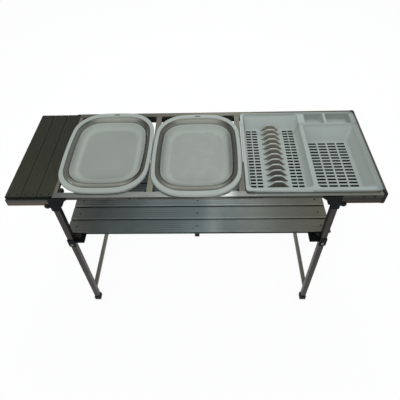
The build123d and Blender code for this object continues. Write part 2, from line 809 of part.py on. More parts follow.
def well_solid(top, floor, corner, depth, grow, mode=Mode.ADD):
    """A tapered well from the tray's top to its floor, grown outwards by one wall."""
    upper = tray_rectangle(top, rail_top + tray_height, grow, corner)
    lower = tray_rectangle(floor, rail_top - depth - grow, grow, corner)
    loft([upper, lower], ruled=True, mode=mode)


def drain_grid(groups, rows, width):
    """Deep grids under the floor of a well, each cut by rows of drain slots."""
    middle_y = tray_y[0] + stretch_y * (first_drain_row + (rows - 1) * drain_pitch / 2)
    length = stretch_y * ((rows - 1) * drain_pitch + drain_length) + 2 * drain_border
    bottom = rail_top - well_depth - drain_depth
    for columns in groups:
        x0 = tray_x[0] + stretch_x * (columns[0] - width / 2) - drain_border
        x1 = tray_x[0] + stretch_x * (columns[-1] + width / 2) + drain_border
        y = (middle_y - length / 2, middle_y + length / 2)
        block((x0, x1), y, (bottom, rail_top - well_depth))
        for column in columns:
            with BuildSketch(Plane.XY.offset(bottom)) as slots:
                with Locations((tray_x[0] + stretch_x * column, middle_y)):
                    with GridLocations(1.0, stretch_y * drain_pitch, 1, rows):
                        Rectangle(stretch_x * width, stretch_y * drain_length)
            extrude(slots.sketch, amount=drain_depth, mode=Mode.SUBTRACT)


# Drainer tray: plate well with ribs on the left, cup well and cutlery boxes on the right
wells = [
    (left_well_top, left_well_floor, well_corner, well_depth),
    (right_well_top, right_well_floor, well_corner, well_depth),
]
for box_top in (cutlery_1_top, cutlery_2_top):
    box_x = (box_top[0][0] + cutlery_draft, box_top[0][1] - cutlery_draft)
    box_y = (box_top[1][0] + cutlery_draft, box_top[1][1] - cutlery_draft)
    wells.append((box_top, (box_x, box_y), cutlery_corner, cutlery_depth))

with BuildPart() as tray:
    middle = (sum(tray_x) / 2, sum(tray_y) / 2)
    with BuildSketch(Plane.XY.offset(rail_top)) as flange:
        with Locations(middle):
            RectangleRounded(tray_x[1] - tray_x[0], tray_y[1] - tray_y[0], tray_corner)
    extrude(flange.sketch, amount=tray_height)
    with BuildSketch(Plane.XY.offset(rail_top)) as recess:
        with Locations(middle):
            inner_x = tray_x[1] - tray_x[0] - 2 * tray_wall
            inner_y = tray_y[1] - tray_y[0] - 2 * tray_wall
            RectangleRounded(inner_x, inner_y, tray_corner - tray_wall)
    extrude(recess.sketch, amount=tray_height - tray_plate, mode=Mode.SUBTRACT)
    for top, floor, corner, depth in wells:
        well_solid(top, floor, corner, depth, tray_wall)
    for top, floor, corner, depth in wells:
        well_solid(top, floor, corner, depth, 0.0, Mode.SUBTRACT)
    drain_grid(left_drain_columns, left_drain_rows, left_drain_width)
    drain_grid(right_drain_columns, right_drain_rows, right_drain_width)
keep(tray, "drainer_tray")

# Arched ribs that stand on the floor of the plate well
with BuildPart() as ribs:
    floor = rail_top - well_depth
    x0 = tray_x[0] + stretch_x * plate_rib_ends[0]
    x1 = tray_x[0] + stretch_x * plate_rib_ends[1]
    for index in range(plate_rib_count):
        middle_y = tray_y[0] + stretch_y * (first_plate_rib + index * plate_rib_pitch)
        shoulder = plate_rib_shoulder[0] * (x1 - x0)
        top = floor + plate_rib_shoulder[1]
        outline = [
            (x0, floor),
            (x0, floor + plate_rib_side),
            (x0 + shoulder, top),
            ((x0 + x1) / 2, floor + plate_rib_peak),
            (x1 - shoulder, top),
            (x1, floor + plate_rib_side),
            (x1, floor),
        ]
        side_plate(outline, (middle_y - plate_rib_thickness / 2, middle_y + plate_rib_thickness / 2))
keep(ribs, "plate_ribs")
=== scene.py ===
"""Looks of the folding camping wash-up stand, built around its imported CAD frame."""
import json
import math

import bmesh
import bpy
from mathutils import Euler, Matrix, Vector

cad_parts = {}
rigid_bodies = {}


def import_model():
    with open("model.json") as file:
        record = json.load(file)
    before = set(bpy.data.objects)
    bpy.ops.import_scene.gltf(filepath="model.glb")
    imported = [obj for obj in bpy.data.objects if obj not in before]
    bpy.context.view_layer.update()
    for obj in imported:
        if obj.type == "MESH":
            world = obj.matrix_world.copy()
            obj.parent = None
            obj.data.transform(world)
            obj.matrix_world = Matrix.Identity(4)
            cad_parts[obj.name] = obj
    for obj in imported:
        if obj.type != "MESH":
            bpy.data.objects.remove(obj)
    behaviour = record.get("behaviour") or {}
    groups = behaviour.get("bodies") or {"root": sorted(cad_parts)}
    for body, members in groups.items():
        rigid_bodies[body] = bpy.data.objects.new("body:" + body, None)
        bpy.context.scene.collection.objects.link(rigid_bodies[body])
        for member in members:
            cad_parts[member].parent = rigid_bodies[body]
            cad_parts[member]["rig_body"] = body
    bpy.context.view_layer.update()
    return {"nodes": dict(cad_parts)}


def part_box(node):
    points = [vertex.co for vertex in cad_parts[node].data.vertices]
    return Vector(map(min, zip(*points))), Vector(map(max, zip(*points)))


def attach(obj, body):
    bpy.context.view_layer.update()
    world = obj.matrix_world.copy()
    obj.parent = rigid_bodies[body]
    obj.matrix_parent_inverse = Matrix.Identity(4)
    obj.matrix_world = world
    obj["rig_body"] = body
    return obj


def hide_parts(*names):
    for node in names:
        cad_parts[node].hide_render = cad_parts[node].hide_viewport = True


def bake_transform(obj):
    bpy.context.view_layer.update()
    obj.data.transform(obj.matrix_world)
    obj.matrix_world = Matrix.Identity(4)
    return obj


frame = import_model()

# Shapes are given in millimetres of the part's frame, tints and ramps in metres.
MM = 0.001
RAIL_TOP = 680.0
scene = bpy.context.scene
nodes = frame["nodes"]

# The camera's place, turn and lens were fitted to the photograph's straight edges.
CAMERA_PLACE = (0.0587, -1.0279, 1.5783)
CAMERA_TURN = (41.476, 1.637, 0.826)
CAMERA_LENS = 34.728
SENSOR_WIDTH = 36.0


def make_camera():
    data = bpy.data.cameras.new("camera")
    data.sensor_fit = "HORIZONTAL"
    data.sensor_width = SENSOR_WIDTH
    data.lens = CAMERA_LENS
    data.clip_start = 0.01
    camera = bpy.data.objects.new("camera", data)
    scene.collection.objects.link(camera)
    camera.location = CAMERA_PLACE
    camera.rotation_euler = Euler([math.radians(a) for a in CAMERA_TURN], "XYZ")
    scene.camera = camera


make_camera()


# Materials
class Nodes:
    """Builds one node material step by step."""

    def __init__(self, name):
        self.material = bpy.data.materials.new(name)
        self.material.use_nodes = True
        self.tree = self.material.node_tree
        self.shader = self.tree.nodes["Principled BSDF"]
        self.output = self.tree.nodes["Material Output"]
        self.place = self.add("ShaderNodeTexCoord").outputs["Object"]

    def add(self, kind, **settings):
        node = self.tree.nodes.new(kind)
        for key, value in settings.items():
            setattr(node, key, value)
        return node

    def link(self, a, b):
        self.tree.links.new(a, b)

    def feed(self, socket, value):
        """Sets a number or a colour on the socket itself, and links anything else."""
        if isinstance(value, (int, float)):
            socket.default_value = value
        elif isinstance(value, tuple):
            socket.default_value = (*value, 1.0)
        else:
            self.link(value, socket)

    def noise(self, scale, detail, roughness, stretch=(1, 1, 1)):
        mapping = self.add("ShaderNodeMapping")
        mapping.inputs["Scale"].default_value = stretch
        self.link(self.place, mapping.inputs["Vector"])
        node = self.add("ShaderNodeTexNoise")
        node.inputs["Scale"].default_value = scale
        node.inputs["Detail"].default_value = detail
        node.inputs["Roughness"].default_value = roughness
        self.link(mapping.outputs["Vector"], node.inputs["Vector"])
        return node.outputs["Fac"]

    def ramp(self, value, stops):
        node = self.add("ShaderNodeValToRGB")
        ramp = node.color_ramp
        while len(ramp.elements) < len(stops):
            ramp.elements.new(0.5)
        for element, (position, color) in zip(ramp.elements, stops):
            element.position = position
            element.color = (*color, 1.0)
        self.link(value, node.inputs["Fac"])
        return node.outputs["Color"]

    def remap(self, value, from_low, from_high, to_low, to_high):
        node = self.add("ShaderNodeMapRange")
        node.inputs["From Min"].default_value = from_low
        node.inputs["From Max"].default_value = from_high
        node.inputs["To Min"].default_value = to_low
        node.inputs["To Max"].default_value = to_high
        self.link(value, node.inputs["Value"])
        return node.outputs["Result"]

    def spread(self, value, low, high):
        """Stretches the middle of a noise or a slope over low to high."""
        return self.remap(value, 0.3, 0.7, low, high)

    def math(self, operation, a, b):
        node = self.add("ShaderNodeMath", operation=operation)
        for socket, value in zip(node.inputs, (a, b)):
            self.feed(socket, value)
        return node.outputs["Value"]

    def mix(self, factor, a, b, blend="MIX"):
        node = self.add("ShaderNodeMix", data_type="RGBA", blend_type=blend)
        for name, value in (("Factor", factor), ("A", a), ("B", b)):
            self.feed(next(s for s in node.inputs if s.name == name and s.enabled), value)
        return next(s for s in node.outputs if s.enabled)

    def bump(self, height, strength, distance, before=None):
        node = self.add("ShaderNodeBump")
        node.inputs["Strength"].default_value = strength
        node.inputs["Distance"].default_value = distance
        self.link(height, node.inputs["Height"])
        if before is not None:
            self.link(before, node.inputs["Normal"])
        return node.outputs["Normal"]

    def axis(self, vector, name):
        split = self.add("ShaderNodeSeparateXYZ")
        self.link(vector, split.inputs["Vector"])
        return split.outputs[name]

    def along(self, axis, low, high, stops):
        """A colour ramp along one axis of the piece, between two places in metres."""
        return self.ramp(self.remap(self.axis(self.place, axis), low, high, 0.0, 1.0), stops)

    def upward(self):
        """1 on faces that look up or down, 0 on upright faces."""
        normal = self.add("ShaderNodeNewGeometry").outputs["Normal"]
        return self.spread(self.math("ABSOLUTE", self.axis(normal, "Z"), 0.0), 0.0, 1.0)

    def set(self, **values):
        for key, value in values.items():
            self.feed(self.shader.inputs[key.replace("_", " ")], value)


# Scales of the noises
DRAWN_LINES = 900.0
FLECKS = 420.0
METAL_CLOUD = 9.0
STAINS = 24.0
GRAIN = 1400.0
SMEARS = 38.0
PLASTIC_CLOUD = 7.0

# Heights of the bumps, in metres
LINE_HEIGHT = 0.0002
GRAIN_HEIGHT = 0.0003

# Stretches that draw a noise out along one axis
LONG_X = (0.02, 1, 1)
LONG_Y = (1, 0.02, 1)
LONG_Z = (1, 1, 0.02)
EVEN = (1, 1, 1)

# Stretches of the stand, in metres, that several tints run over
DEPTH = (-0.21, 0.21)
RIB_DEPTH = (-0.16, 0.16)
TRAY_WIDTH = (0.16, 0.60)

# Painted shade on the drain slots' upright walls
SLOT_SHADE = (0.010, 0.0095, 0.008)


def shade(color, factor):
    return tuple(c * factor for c in color)


def metal(name, color, dark, along, roughness, metallic, side=None, light_tints=(), brush=0.12,
          specular=0.5):
    """Anodised or painted metal: fine drawn lines, a cloudy tone and faint flecks.

    side is a painted shade for upright faces, and each of light_tints is a ramp of painted
    light and shade that multiplies the tone.
    """
    m = Nodes(name)
    lines = m.noise(DRAWN_LINES, 2.0, 0.5, along)
    cloud = m.noise(METAL_CLOUD, 4.0, 0.6)
    fleck = m.noise(FLECKS, 2.0, 0.6)
    tone = m.ramp(cloud, [(0.3, shade(color, 0.92)), (0.7, shade(color, 1.07))])
    tone = m.mix(m.spread(lines, 0.0, 0.5), tone, dark)
    if side is not None:
        tone = m.mix(m.upward(), side, tone)
    for tint in light_tints:
        tone = m.mix(1.0, tone, m.along(*tint), "MULTIPLY")
    m.set(Base_Color=tone, Metallic=metallic, Specular_IOR_Level=specular)
    drawn = m.spread(lines, roughness - 0.05, roughness + 0.07)
    m.set(Roughness=m.math("ADD", drawn, m.spread(cloud, -0.03, 0.04)))
    fine = m.bump(fleck, 0.08, LINE_HEIGHT)
    m.set(Normal=m.bump(lines, brush, LINE_HEIGHT, fine))
    return m.material


def plastic(name, color, roughness, specular, grain=0.12, warm=None, light_tints=(), side=None,
            shaft=None):
    """Moulded plastic: fine spark grain, slow tone change, a little dust in the roughness.

    warm is a second tone in smears, side a ramp of painted light and shade for upright faces,
    each of light_tints a ramp of painted light and shade that multiplies the tone, and shaft a
    ramp up the height that is 0 where upright faces get the painted shade of the drain slots.
    """
    m = Nodes(name)
    grain_noise = m.noise(GRAIN, 2.0, 0.6)
    cloud = m.noise(PLASTIC_CLOUD, 3.0, 0.5)
    smear = m.noise(SMEARS, 4.0, 0.6)
    tone = m.ramp(cloud, [(0.3, shade(color, 0.95)), (0.7, shade(color, 1.04))])
    if warm is not None:
        tone = m.mix(m.spread(smear, 0.0, 0.22), tone, warm)
    if side is not None:
        tone = m.mix(m.upward(), m.along(*side), tone)
    for tint in light_tints:
        tone = m.mix(1.0, tone, m.along(*tint), "MULTIPLY")
    if shaft is not None:
        tone = m.mix(m.math("MAXIMUM", m.upward(), m.along(*shaft)), SLOT_SHADE, tone)
    m.set(Base_Color=tone, Specular_IOR_Level=specular)
    dusty = m.spread(smear, roughness - 0.06, roughness + 0.08)
    m.set(Roughness=m.math("ADD", dusty, m.spread(grain_noise, -0.02, 0.02)))
    m.set(Normal=m.bump(grain_noise, grain, GRAIN_HEIGHT))
    return m.material


def grey_stops(stops):
    """Ramp stops from (position, brightness) or (position, red, green, blue)."""
    return [(stop[0], stop[1:] if len(stop) == 4 else (stop[1],) * 3) for stop in stops]


def centred(axis, middle, half, stops):
    """A tint of painted light and shade across one bowl: stops are (millimetres from its middle,
    colour).
    """
    places = [((stop[0] + half) / (2 * half),) + tuple(stop[1:]) for stop in stops]
    return (axis, (middle - half) * MM, (middle + half) * MM, grey_stops(places))


# Light and shade across the bowls, as centred takes them, for bowl 1 and bowl 2
SOFT_HALF = (142.0, 190.0)
SOFT_X = {
    1: [(-142, 0.40, 0.40, 0.38), (-113, 0.42, 0.42, 0.40), (-74, 0.95, 0.94, 0.90),
        (74, 0.95, 0.94, 0.90), (113, 0.24, 0.235, 0.21), (142, 0.22, 0.215, 0.19)],
    2: [(-142, 0.32, 0.32, 0.30), (-133, 0.25, 0.25, 0.23), (-113, 0.45, 0.45, 0.42),
        (-74, 0.95, 0.94, 0.90), (74, 0.95, 0.94, 0.90), (113, 0.24, 0.235, 0.21),
        (142, 0.22, 0.215, 0.19)],
}
SOFT_Y = [(-190, 1.0), (-180, 0.52), (-162, 1.1), (-120, 1.0), (120, 1.0), (163, 0.62),
          (171, 0.95), (190, 1.3)]
PAN_HALF = (124.5, 159.5)
PAN_X = {
    1: [(-124, 0.60), (-113, 0.84), (-84, 1.0), (100, 1.0), (114, 0.88), (124, 0.60)],
    2: [(-124, 0.50), (-113, 0.80), (-84, 1.0), (90, 1.0), (106, 0.84), (114, 0.52),
        (124, 0.30)],
}
PAN_Y = [(-159, 0.84), (-155, 0.62), (-141, 0.76), (-125, 0.90), (-105, 1.0), (159, 1.0)]

# Painted light and shade on the base: its floor a little darker than the bend round it, beige
# towards the lip.
PAN_RISE_SHADING = ("Z", 0.6638, 0.6800, grey_stops([
    (0.0, 0.79, 0.79, 0.78), (0.015, 0.79, 0.79, 0.78), (0.03, 0.88, 0.88, 0.87),
    (0.07, 0.98, 0.98, 0.97), (0.17, 1.06, 1.06, 1.05), (1.0, 1.0, 1.0, 0.98)]))
BOWL_COLOR = (0.325, 0.361, 0.332)
PAN_COLOR = (0.315, 0.350, 0.320)
SOFT_COLOR = (0.25, 0.265, 0.235)
BOWL_WARM = (0.33, 0.33, 0.29)
SOFT_WARM = (0.25, 0.235, 0.19)


def bowl_tints(place, half, across, deep):
    return (centred("X", place[0], half[0], across), centred("Y", place[1], half[1], deep))


def soft_wall(number, place):
    """The bowls' soft grey wall, with painted light and shade, darkest in its deep long sides."""
    light_tints = bowl_tints(place, SOFT_HALF, SOFT_X[number], SOFT_Y)
    return plastic(f"bowl_{number}_soft", SOFT_COLOR, 0.6, 0.25, 0.15, warm=SOFT_WARM,
                   light_tints=light_tints)


def pan_plastic(number, place):
    """The bowls' base, with painted shade beside its lip and on its floor."""
    light_tints = bowl_tints(place, PAN_HALF, PAN_X[number], PAN_Y) + (PAN_RISE_SHADING,)
    return plastic(f"bowl_{number}_base", PAN_COLOR, 0.42, 0.3, 0.08, warm=BOWL_WARM,
                   light_tints=light_tints)


# Painted light and shade of the studio light, multiplied into the colours: its slow changes along
# the rails, slats, members and bearers, and a painted highlight on the front rail and the shelf
RAIL_LIGHT_TINT = ("X", -0.45, 0.605, grey_stops([
    (0.0, 0.62), (0.14, 1.25), (0.41, 1.2), (0.49, 2.8), (0.56, 0.65),
    (0.74, 1.05, 1.05, 1.0), (1.0, 0.92, 0.90, 0.75)]))
SHELF_LIGHT_TINT = ("X", -0.48, 0.48, grey_stops([
    (0.0, 0.72, 0.68, 0.60), (0.12, 0.63, 0.68, 0.69), (0.35, 0.96, 1.10, 1.12),
    (0.52, 1.40, 1.60, 1.68), (0.565, 2.24, 2.36, 2.36), (0.61, 1.60, 1.75, 1.80),
    (0.72, 1.58, 1.58, 1.50), (0.93, 1.08, 0.98, 0.87), (1.0, 0.85, 0.78, 0.62)]))
WORKTOP_SHADE_TINT = ("Y", *DEPTH, grey_stops([
    (0.0, 1.0, 1.0, 0.80), (0.5, 0.64, 0.64, 0.48), (1.0, 0.40, 0.41, 0.30)]))
MEMBER_SHADE_TINTS = {
    1: ("Y", *DEPTH, grey_stops([(0.0, 1.0), (0.4, 0.9), (1.0, 0.58, 0.57, 0.54)])),
    2: ("Y", *DEPTH, grey_stops([(0.0, 0.54), (0.5, 0.56), (1.0, 0.70, 0.71, 0.74)])),
}
BEARER_SHADE_TINT = ("X", -0.605, 0.605, grey_stops([
    (0.0, 1.0), (0.30, 1.0), (0.60, 0.45, 0.42, 0.42), (1.0, 0.22, 0.2, 0.2)]))

# Painted brightness before and behind each of the front three gaps between the shelf slats
SHELF_LEVELS = ((1.12, 1.04), (1.04, 1.0), (1.0, 0.97))


def shelf_row_shading():
    """Painted shade in the shelf's gaps, painted highlights on its front edges, and the bowls'
    painted shadow on its back half.
    """
    low, high = -0.22, 0.24
    stops = [(low, SHELF_LEVELS[0][0])]
    for index, (level, after) in enumerate(SHELF_LEVELS):
        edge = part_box(f"shelf_slat_{index + 1}")[1].y
        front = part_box(f"shelf_slat_{index + 2}")[0].y
        stops += [(edge - 0.0025, level), (edge - 0.0015, 0.45 * level), (edge, 0.35 * level),
                  (front, 1.55 * after), (front + 0.005, 1.5 * after), (front + 0.007, after)]
    stops += [(-0.012, 0.95), (0.006, 0.30), (0.030, 0.16), (0.10, 0.12), (high, 0.12)]
    return ("Y", low, high, grey_stops([((y - low) / (high - low), value) for y, value in stops]))


# The rails are one aluminium: the back and end rails get darker, browner copies of it as painted
# shade, and side gives each rail's upright faces a painted shade.
SILVER = metal("bright_frame", (0.160, 0.170, 0.162), (0.120, 0.130, 0.122), LONG_X, 0.30, 0.92,
               side=(0.042, 0.042, 0.036), light_tints=(RAIL_LIGHT_TINT,), brush=0.5)
SILVER_BACK = metal("bright_back_rail", (0.085, 0.083, 0.066), (0.065, 0.062, 0.05), LONG_X,
                    0.34, 0.9, side=(0.04, 0.038, 0.03), brush=0.4)
SILVER_LEFT = metal("bright_left_end", (0.125, 0.118, 0.095), (0.095, 0.09, 0.07), LONG_Y,
                    0.36, 0.9, side=(0.06, 0.056, 0.045))
SILVER_RIGHT = metal("bright_right_end", (0.078, 0.076, 0.060), (0.055, 0.054, 0.042), LONG_Y,
                     0.36, 0.9, side=(0.02, 0.02, 0.015))
# The two cross members are copies of one material, each with its own painted shade along it.
MEMBERS = {k: metal(f"member_tube_{k}", (0.155, 0.155, 0.125), (0.12, 0.12, 0.095), LONG_Y,
                    0.42, 0.8, light_tints=(MEMBER_SHADE_TINTS[k],)) for k in (1, 2)}
DARK_Z = metal("dark_post", (0.034, 0.030, 0.026), (0.024, 0.021, 0.018), LONG_Z, 0.42, 0.7)
DARK_Y = metal("dark_bar", (0.12, 0.115, 0.09), (0.09, 0.085, 0.07), LONG_Y, 0.44, 0.7)
WORKTOP = metal("worktop_slat", (0.033, 0.035, 0.026), (0.022, 0.024, 0.018), LONG_Y, 0.46, 0.6,
                light_tints=(WORKTOP_SHADE_TINT,), specular=0.2)
# The shelf's slats get a near-black painted shade on their upright faces, and painted light and
# shade along and across them.
SHELF = metal("shelf_slat", (0.34, 0.363, 0.352), (0.255, 0.273, 0.264), LONG_X, 0.36, 0.85,
              side=(0.010, 0.011, 0.011), light_tints=(SHELF_LIGHT_TINT, shelf_row_shading()), brush=0.4)
STEEL = metal("fastener_steel", (0.20, 0.20, 0.18), (0.14, 0.14, 0.13), EVEN, 0.35, 0.9)
BLACK_STEEL = metal("screw_black", (0.007, 0.007, 0.007), (0.005, 0.005, 0.005), EVEN, 0.45, 0.4,
                    specular=0.15)
BRACKET = plastic("black_bracket", (0.005, 0.0065, 0.008), 0.6, 0.08)
BLACK = plastic("black_plastic", (0.006, 0.006, 0.006), 0.5, 0.15)
RUBBER = plastic("rubber_feet", (0.012, 0.012, 0.012), 0.7, 0.2, 0.25)
BOWL = plastic("bowl_plastic", BOWL_COLOR, 0.42, 0.3, 0.08, warm=BOWL_WARM)

# The drainer's painted light and shade: on its upright walls from left to right, on its right
# lip, on its back parts, and the height below which the slots' walls get painted shade
TRAY_SIDE_SHADING = ("X", *TRAY_WIDTH, grey_stops([
    (0.0, 0.17, 0.185, 0.17), (0.062, 0.17, 0.185, 0.17), (0.09, 0.34, 0.38, 0.36),
    (0.475, 0.50, 0.55, 0.52), (0.500, 0.32, 0.35, 0.32), (0.53, 0.34, 0.38, 0.36),
    (0.88, 0.33, 0.36, 0.33), (0.97, 0.32, 0.34, 0.31), (1.0, 0.20, 0.22, 0.205)]))
TRAY_LIP_SHADE = ("X", *TRAY_WIDTH, grey_stops([(0.0, 1.0), (0.92, 1.0), (0.955, 0.68), (1.0, 0.66)]))
TRAY_BACK_SHADING = ("Y", *DEPTH, grey_stops([
    (0.0, 0.95), (0.2, 1.0), (0.775, 1.0), (0.79, 0.86), (0.82, 0.86), (0.835, 1.10),
    (0.94, 1.10), (0.955, 0.74), (1.0, 0.68)]))
TRAY_SLOT_SHADE_HEIGHT = ("Z", 0.6464, 0.6469, grey_stops([(0.0, 0.0), (1.0, 1.0)]))
TRAY = plastic("drainer_plastic", (0.335, 0.378, 0.355), 0.4, 0.3, 0.08, side=TRAY_SIDE_SHADING,
               light_tints=(TRAY_LIP_SHADE, TRAY_BACK_SHADING), shaft=TRAY_SLOT_SHADE_HEIGHT)
# Painted light and shade on the ribs: they are a lighter copy of the tray's plastic, as painted
# light on their tops, and their upright faces get painted shade, darkest on the nearest ribs.
RIB_SIDE_SHADE = ("Y", *RIB_DEPTH, grey_stops([
    (0.0, 0.085, 0.088, 0.080), (0.4, 0.18, 0.165, 0.135), (1.0, 0.28, 0.26, 0.20)]))
RIBS = plastic("drainer_rib_plastic", (0.420, 0.462, 0.430), 0.4, 0.3, 0.08, side=RIB_SIDE_SHADE)
# The webs between the slots are coloured near black as painted shade, lighter and browner towards
# the back.
GRID_SHADE_TINT = ("Y", *RIB_DEPTH, grey_stops([(0.0, 0.4), (1.0, 2.0, 1.9, 1.5)]))
GRID = plastic("drainer_grid_shade", (0.020, 0.019, 0.016), 0.7, 0.03, 0.08, light_tints=(GRID_SHADE_TINT,))


def bearer_metal():
    """The bearers' front faces are grey above and brown below, with painted shade that darkens them
    towards the right.
    """
    m = Nodes("bearer_tube")
    lines = m.noise(DRAWN_LINES, 2.0, 0.5, LONG_X)
    cloud = m.noise(STAINS, 4.0, 0.6, (0.4, 1, 1))
    tone = m.along("Z", 0.6435, 0.669, grey_stops([
        (0.0, 0.085, 0.062, 0.042), (0.52, 0.115, 0.083, 0.055), (0.62, 0.050, 0.054, 0.050),
        (1.0, 0.044, 0.055, 0.054)]))
    tone = m.mix(m.spread(cloud, 0.0, 0.35), tone, (0.045, 0.043, 0.036))
    tone = m.mix(1.0, tone, m.along(*BEARER_SHADE_TINT), "MULTIPLY")
    m.set(Base_Color=tone, Metallic=0.6, Roughness=m.spread(lines, 0.38, 0.5))
    m.set(Normal=m.bump(lines, 0.15, LINE_HEIGHT))
    return m.material


BEARER = bearer_metal()


# Mesh helpers
def link_object(name, mesh, material):
    mesh.materials.clear()
    mesh.materials.append(material)
    piece = bpy.data.objects.new(name, mesh)
    scene.collection.objects.link(piece)
    return piece


def add_object(name, mesh, material, body, replaces=()):
    """A rigid piece that rides on one body and may stand for CAD nodes."""
    piece = link_object(name, mesh, material)
    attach(piece, body)
    if replaces:
        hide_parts(*replaces)
    return piece


def to_mesh(bm, name):
    mesh = bpy.data.meshes.new(name)
    bm.to_mesh(mesh)
    bm.free()
    return mesh


def smooth(mesh, sharp):
    """Smooth shading, except over edges that turn by more than sharp degrees."""
    for face in mesh.polygons:
        face.use_smooth = True
    mesh.set_sharp_from_angle(angle=math.radians(sharp))


def finish_mesh(bm, name, sharp):
    bmesh.ops.recalc_face_normals(bm, faces=bm.faces)
    mesh = to_mesh(bm, name)
    smooth(mesh, sharp)
    return mesh


def apply_modifiers(piece):
    """Puts the piece's modifiers into its mesh."""
    graph = bpy.context.evaluated_depsgraph_get()
    done = bpy.data.meshes.new_from_object(piece.evaluated_get(graph))
    piece.modifiers.clear()
    old = piece.data
    piece.data = done
    bpy.data.meshes.remove(old)


def weighted(piece):
    """Shading that follows the large faces."""
    modifier = piece.modifiers.new("weighted", "WEIGHTED_NORMAL")
    modifier.keep_sharp = True


def rounded_copy(node, width, material):
    """A copy of a CAD node with its edges rounded over; it stands for the node."""
    source = nodes[node]
    bm = bmesh.new()
    bm.from_mesh(source.data)
    bmesh.ops.remove_doubles(bm, verts=bm.verts, dist=1e-6)
    bmesh.ops.dissolve_limit(bm, angle_limit=math.radians(1.0), verts=bm.verts, edges=bm.edges)
    mesh = to_mesh(bm, node + "_round")
    piece = add_object(node + "_shell", mesh, material, source["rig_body"], (node,))
    bevel = piece.modifiers.new("bevel", "BEVEL")
    bevel.width = width * MM
    bevel.segments = 2
    bevel.limit_method = "ANGLE"
    bevel.angle_limit = math.radians(40.0)
    apply_modifiers(piece)
    smooth(piece.data, 50.0)
    weighted(piece)


def outline(half_width, half_depth, bulge, corner, side=8, turn=10):
    """Points of a rounded rectangle whose four sides bow outwards, from the front middle."""
    a = half_width - bulge
    b = half_depth - bulge
    radius_1 = (a * a + bulge * bulge) / (2 * bulge)
    radius_2 = (b * b + bulge * bulge) / (2 * bulge)
    centre_1 = Vector((0.0, radius_1 - half_depth))
    centre_2 = Vector((half_width - radius_2, 0.0))
    span = centre_2 - centre_1
    d = span.length
    ra = radius_1 - corner
    rb = radius_2 - corner
    x = (d * d + ra * ra - rb * rb) / (2 * d)
    h = math.sqrt(max(ra * ra - x * x, 0.0))
    u = span / d
    n = Vector((-u.y, u.x))
    options = [centre_1 + u * x + n * h, centre_1 + u * x - n * h]
    centre = max(options, key=lambda p: p.x - p.y)
    touch_1 = centre_1 + (centre - centre_1).normalized() * radius_1
    touch_2 = centre_2 + (centre - centre_2).normalized() * radius_2

    def arc(middle, start, end, count):
        a0 = math.atan2(start.y - middle.y, start.x - middle.x)
        a1 = math.atan2(end.y - middle.y, end.x - middle.x)
        r = (start - middle).length
        step = (a1 - a0) / count
        angles = [a0 + i * step for i in range(count)]
        return [middle + Vector((math.cos(angle), math.sin(angle))) * r for angle in angles]

    quarter = arc(centre_1, Vector((0.0, -half_depth)), touch_1, side)
    quarter += arc(centre, touch_1, touch_2, turn)
    quarter += arc(centre_2, touch_2, Vector((half_width, 0.0)), side)
    quarter.append(Vector((half_width, 0.0)))
    points = [(p.x, p.y) for p in quarter]
    points += [(p.x, -p.y) for p in reversed(quarter[:-1])]
    points += [(-x, y) for x, y in reversed(points[1:-1])]
    return points


def add_loop(bm, points):
    return [bm.verts.new(Vector(p) * MM) for p in points]


def bridge(bm, low, high):
    """Quads between two closed loops of equal length."""
    count = len(low)
    for i in range(count):
        j = (i + 1) % count
        bm.faces.new((low[i], low[j], high[j], high[i]))


def loft(bm, rings, closed=False, cap_first=False, cap_last=False):
    """Joins rings of equal length with quads."""
    rows = [add_loop(bm, ring) for ring in rings]
    pairs = list(zip(rows, rows[1:]))
    if closed:
        pairs.append((rows[-1], rows[0]))
    for low, high in pairs:
        bridge(bm, low, high)
    if cap_first:
        bm.faces.new(list(reversed(rows[0])))
    if cap_last:
        bm.faces.new(rows[-1])
    return rows


def fill_between(bm, loops):
    """A flat face between an outer loop and the loops inside it."""
    edges = []
    for loop in loops:
        for i, vert in enumerate(loop):
            other = loop[(i + 1) % len(loop)]
            edges.append(bm.edges.get((vert, other)) or bm.edges.new((vert, other)))
    bmesh.ops.triangle_fill(bm, use_beauty=True, use_dissolve=False, edges=edges)


def blend_shape(first, second, t):
    return tuple(a + (b - a) * t for a, b in zip(first, second))


# Bowls. A shape is (half width, half depth, bow of the sides, corner radius), and a height is
# counted from the rails' top.
def inset(shape, amount):
    return (shape[0] - amount, shape[1] - amount, shape[2], shape[3] - amount)


RIM = (154.2, 209.3, 13.0, 107.9)
FLANGE = (140.7, 188.8, 11.0, 95.7)
SKIRT = (132.7, 184.4, 11.0, 87.6)
HOLE = inset(SKIRT, 2.5)
FOLD = (127.6, 162.6, 9.0, 76.6)
BAND = inset(FOLD, 1.6)
PAN = inset(BAND, 1.7)
PAN_IN = inset(PAN, 4.5)
FLOOR = (83.4, 117.6, 6.0, 45.0)
PAN_DEPTH = 16.0
PAN_STEPS = (0.0, 0.03, 0.07, 0.12, 0.18, 0.26, 0.35, 0.46, 0.58, 0.72, 0.86, 1.0)
WALL_HEIGHTS = (-34.0, -26.0, -18.0, -10.0)
HANGING_SLOT = (8.0, 3.0, 11.5)


def bowl_centre(number):
    low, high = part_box(f"bowl_{number}_rim")
    return ((low.x + high.x) / 2 / MM, (low.y + high.y) / 2 / MM)


def bowl_rings(place, rings):
    """Outlines round a bowl from (shape, height) pairs."""
    x, y = place
    return [[(x + px, y + py, RAIL_TOP + z) for px, py in outline(*shape)] for shape, z in rings]


def ring_mesh(name, place, rings):
    """A closed ring that runs round a bowl."""
    bm = bmesh.new()
    loft(bm, bowl_rings(place, rings), closed=True)
    return finish_mesh(bm, name + "_mesh", 60.0)


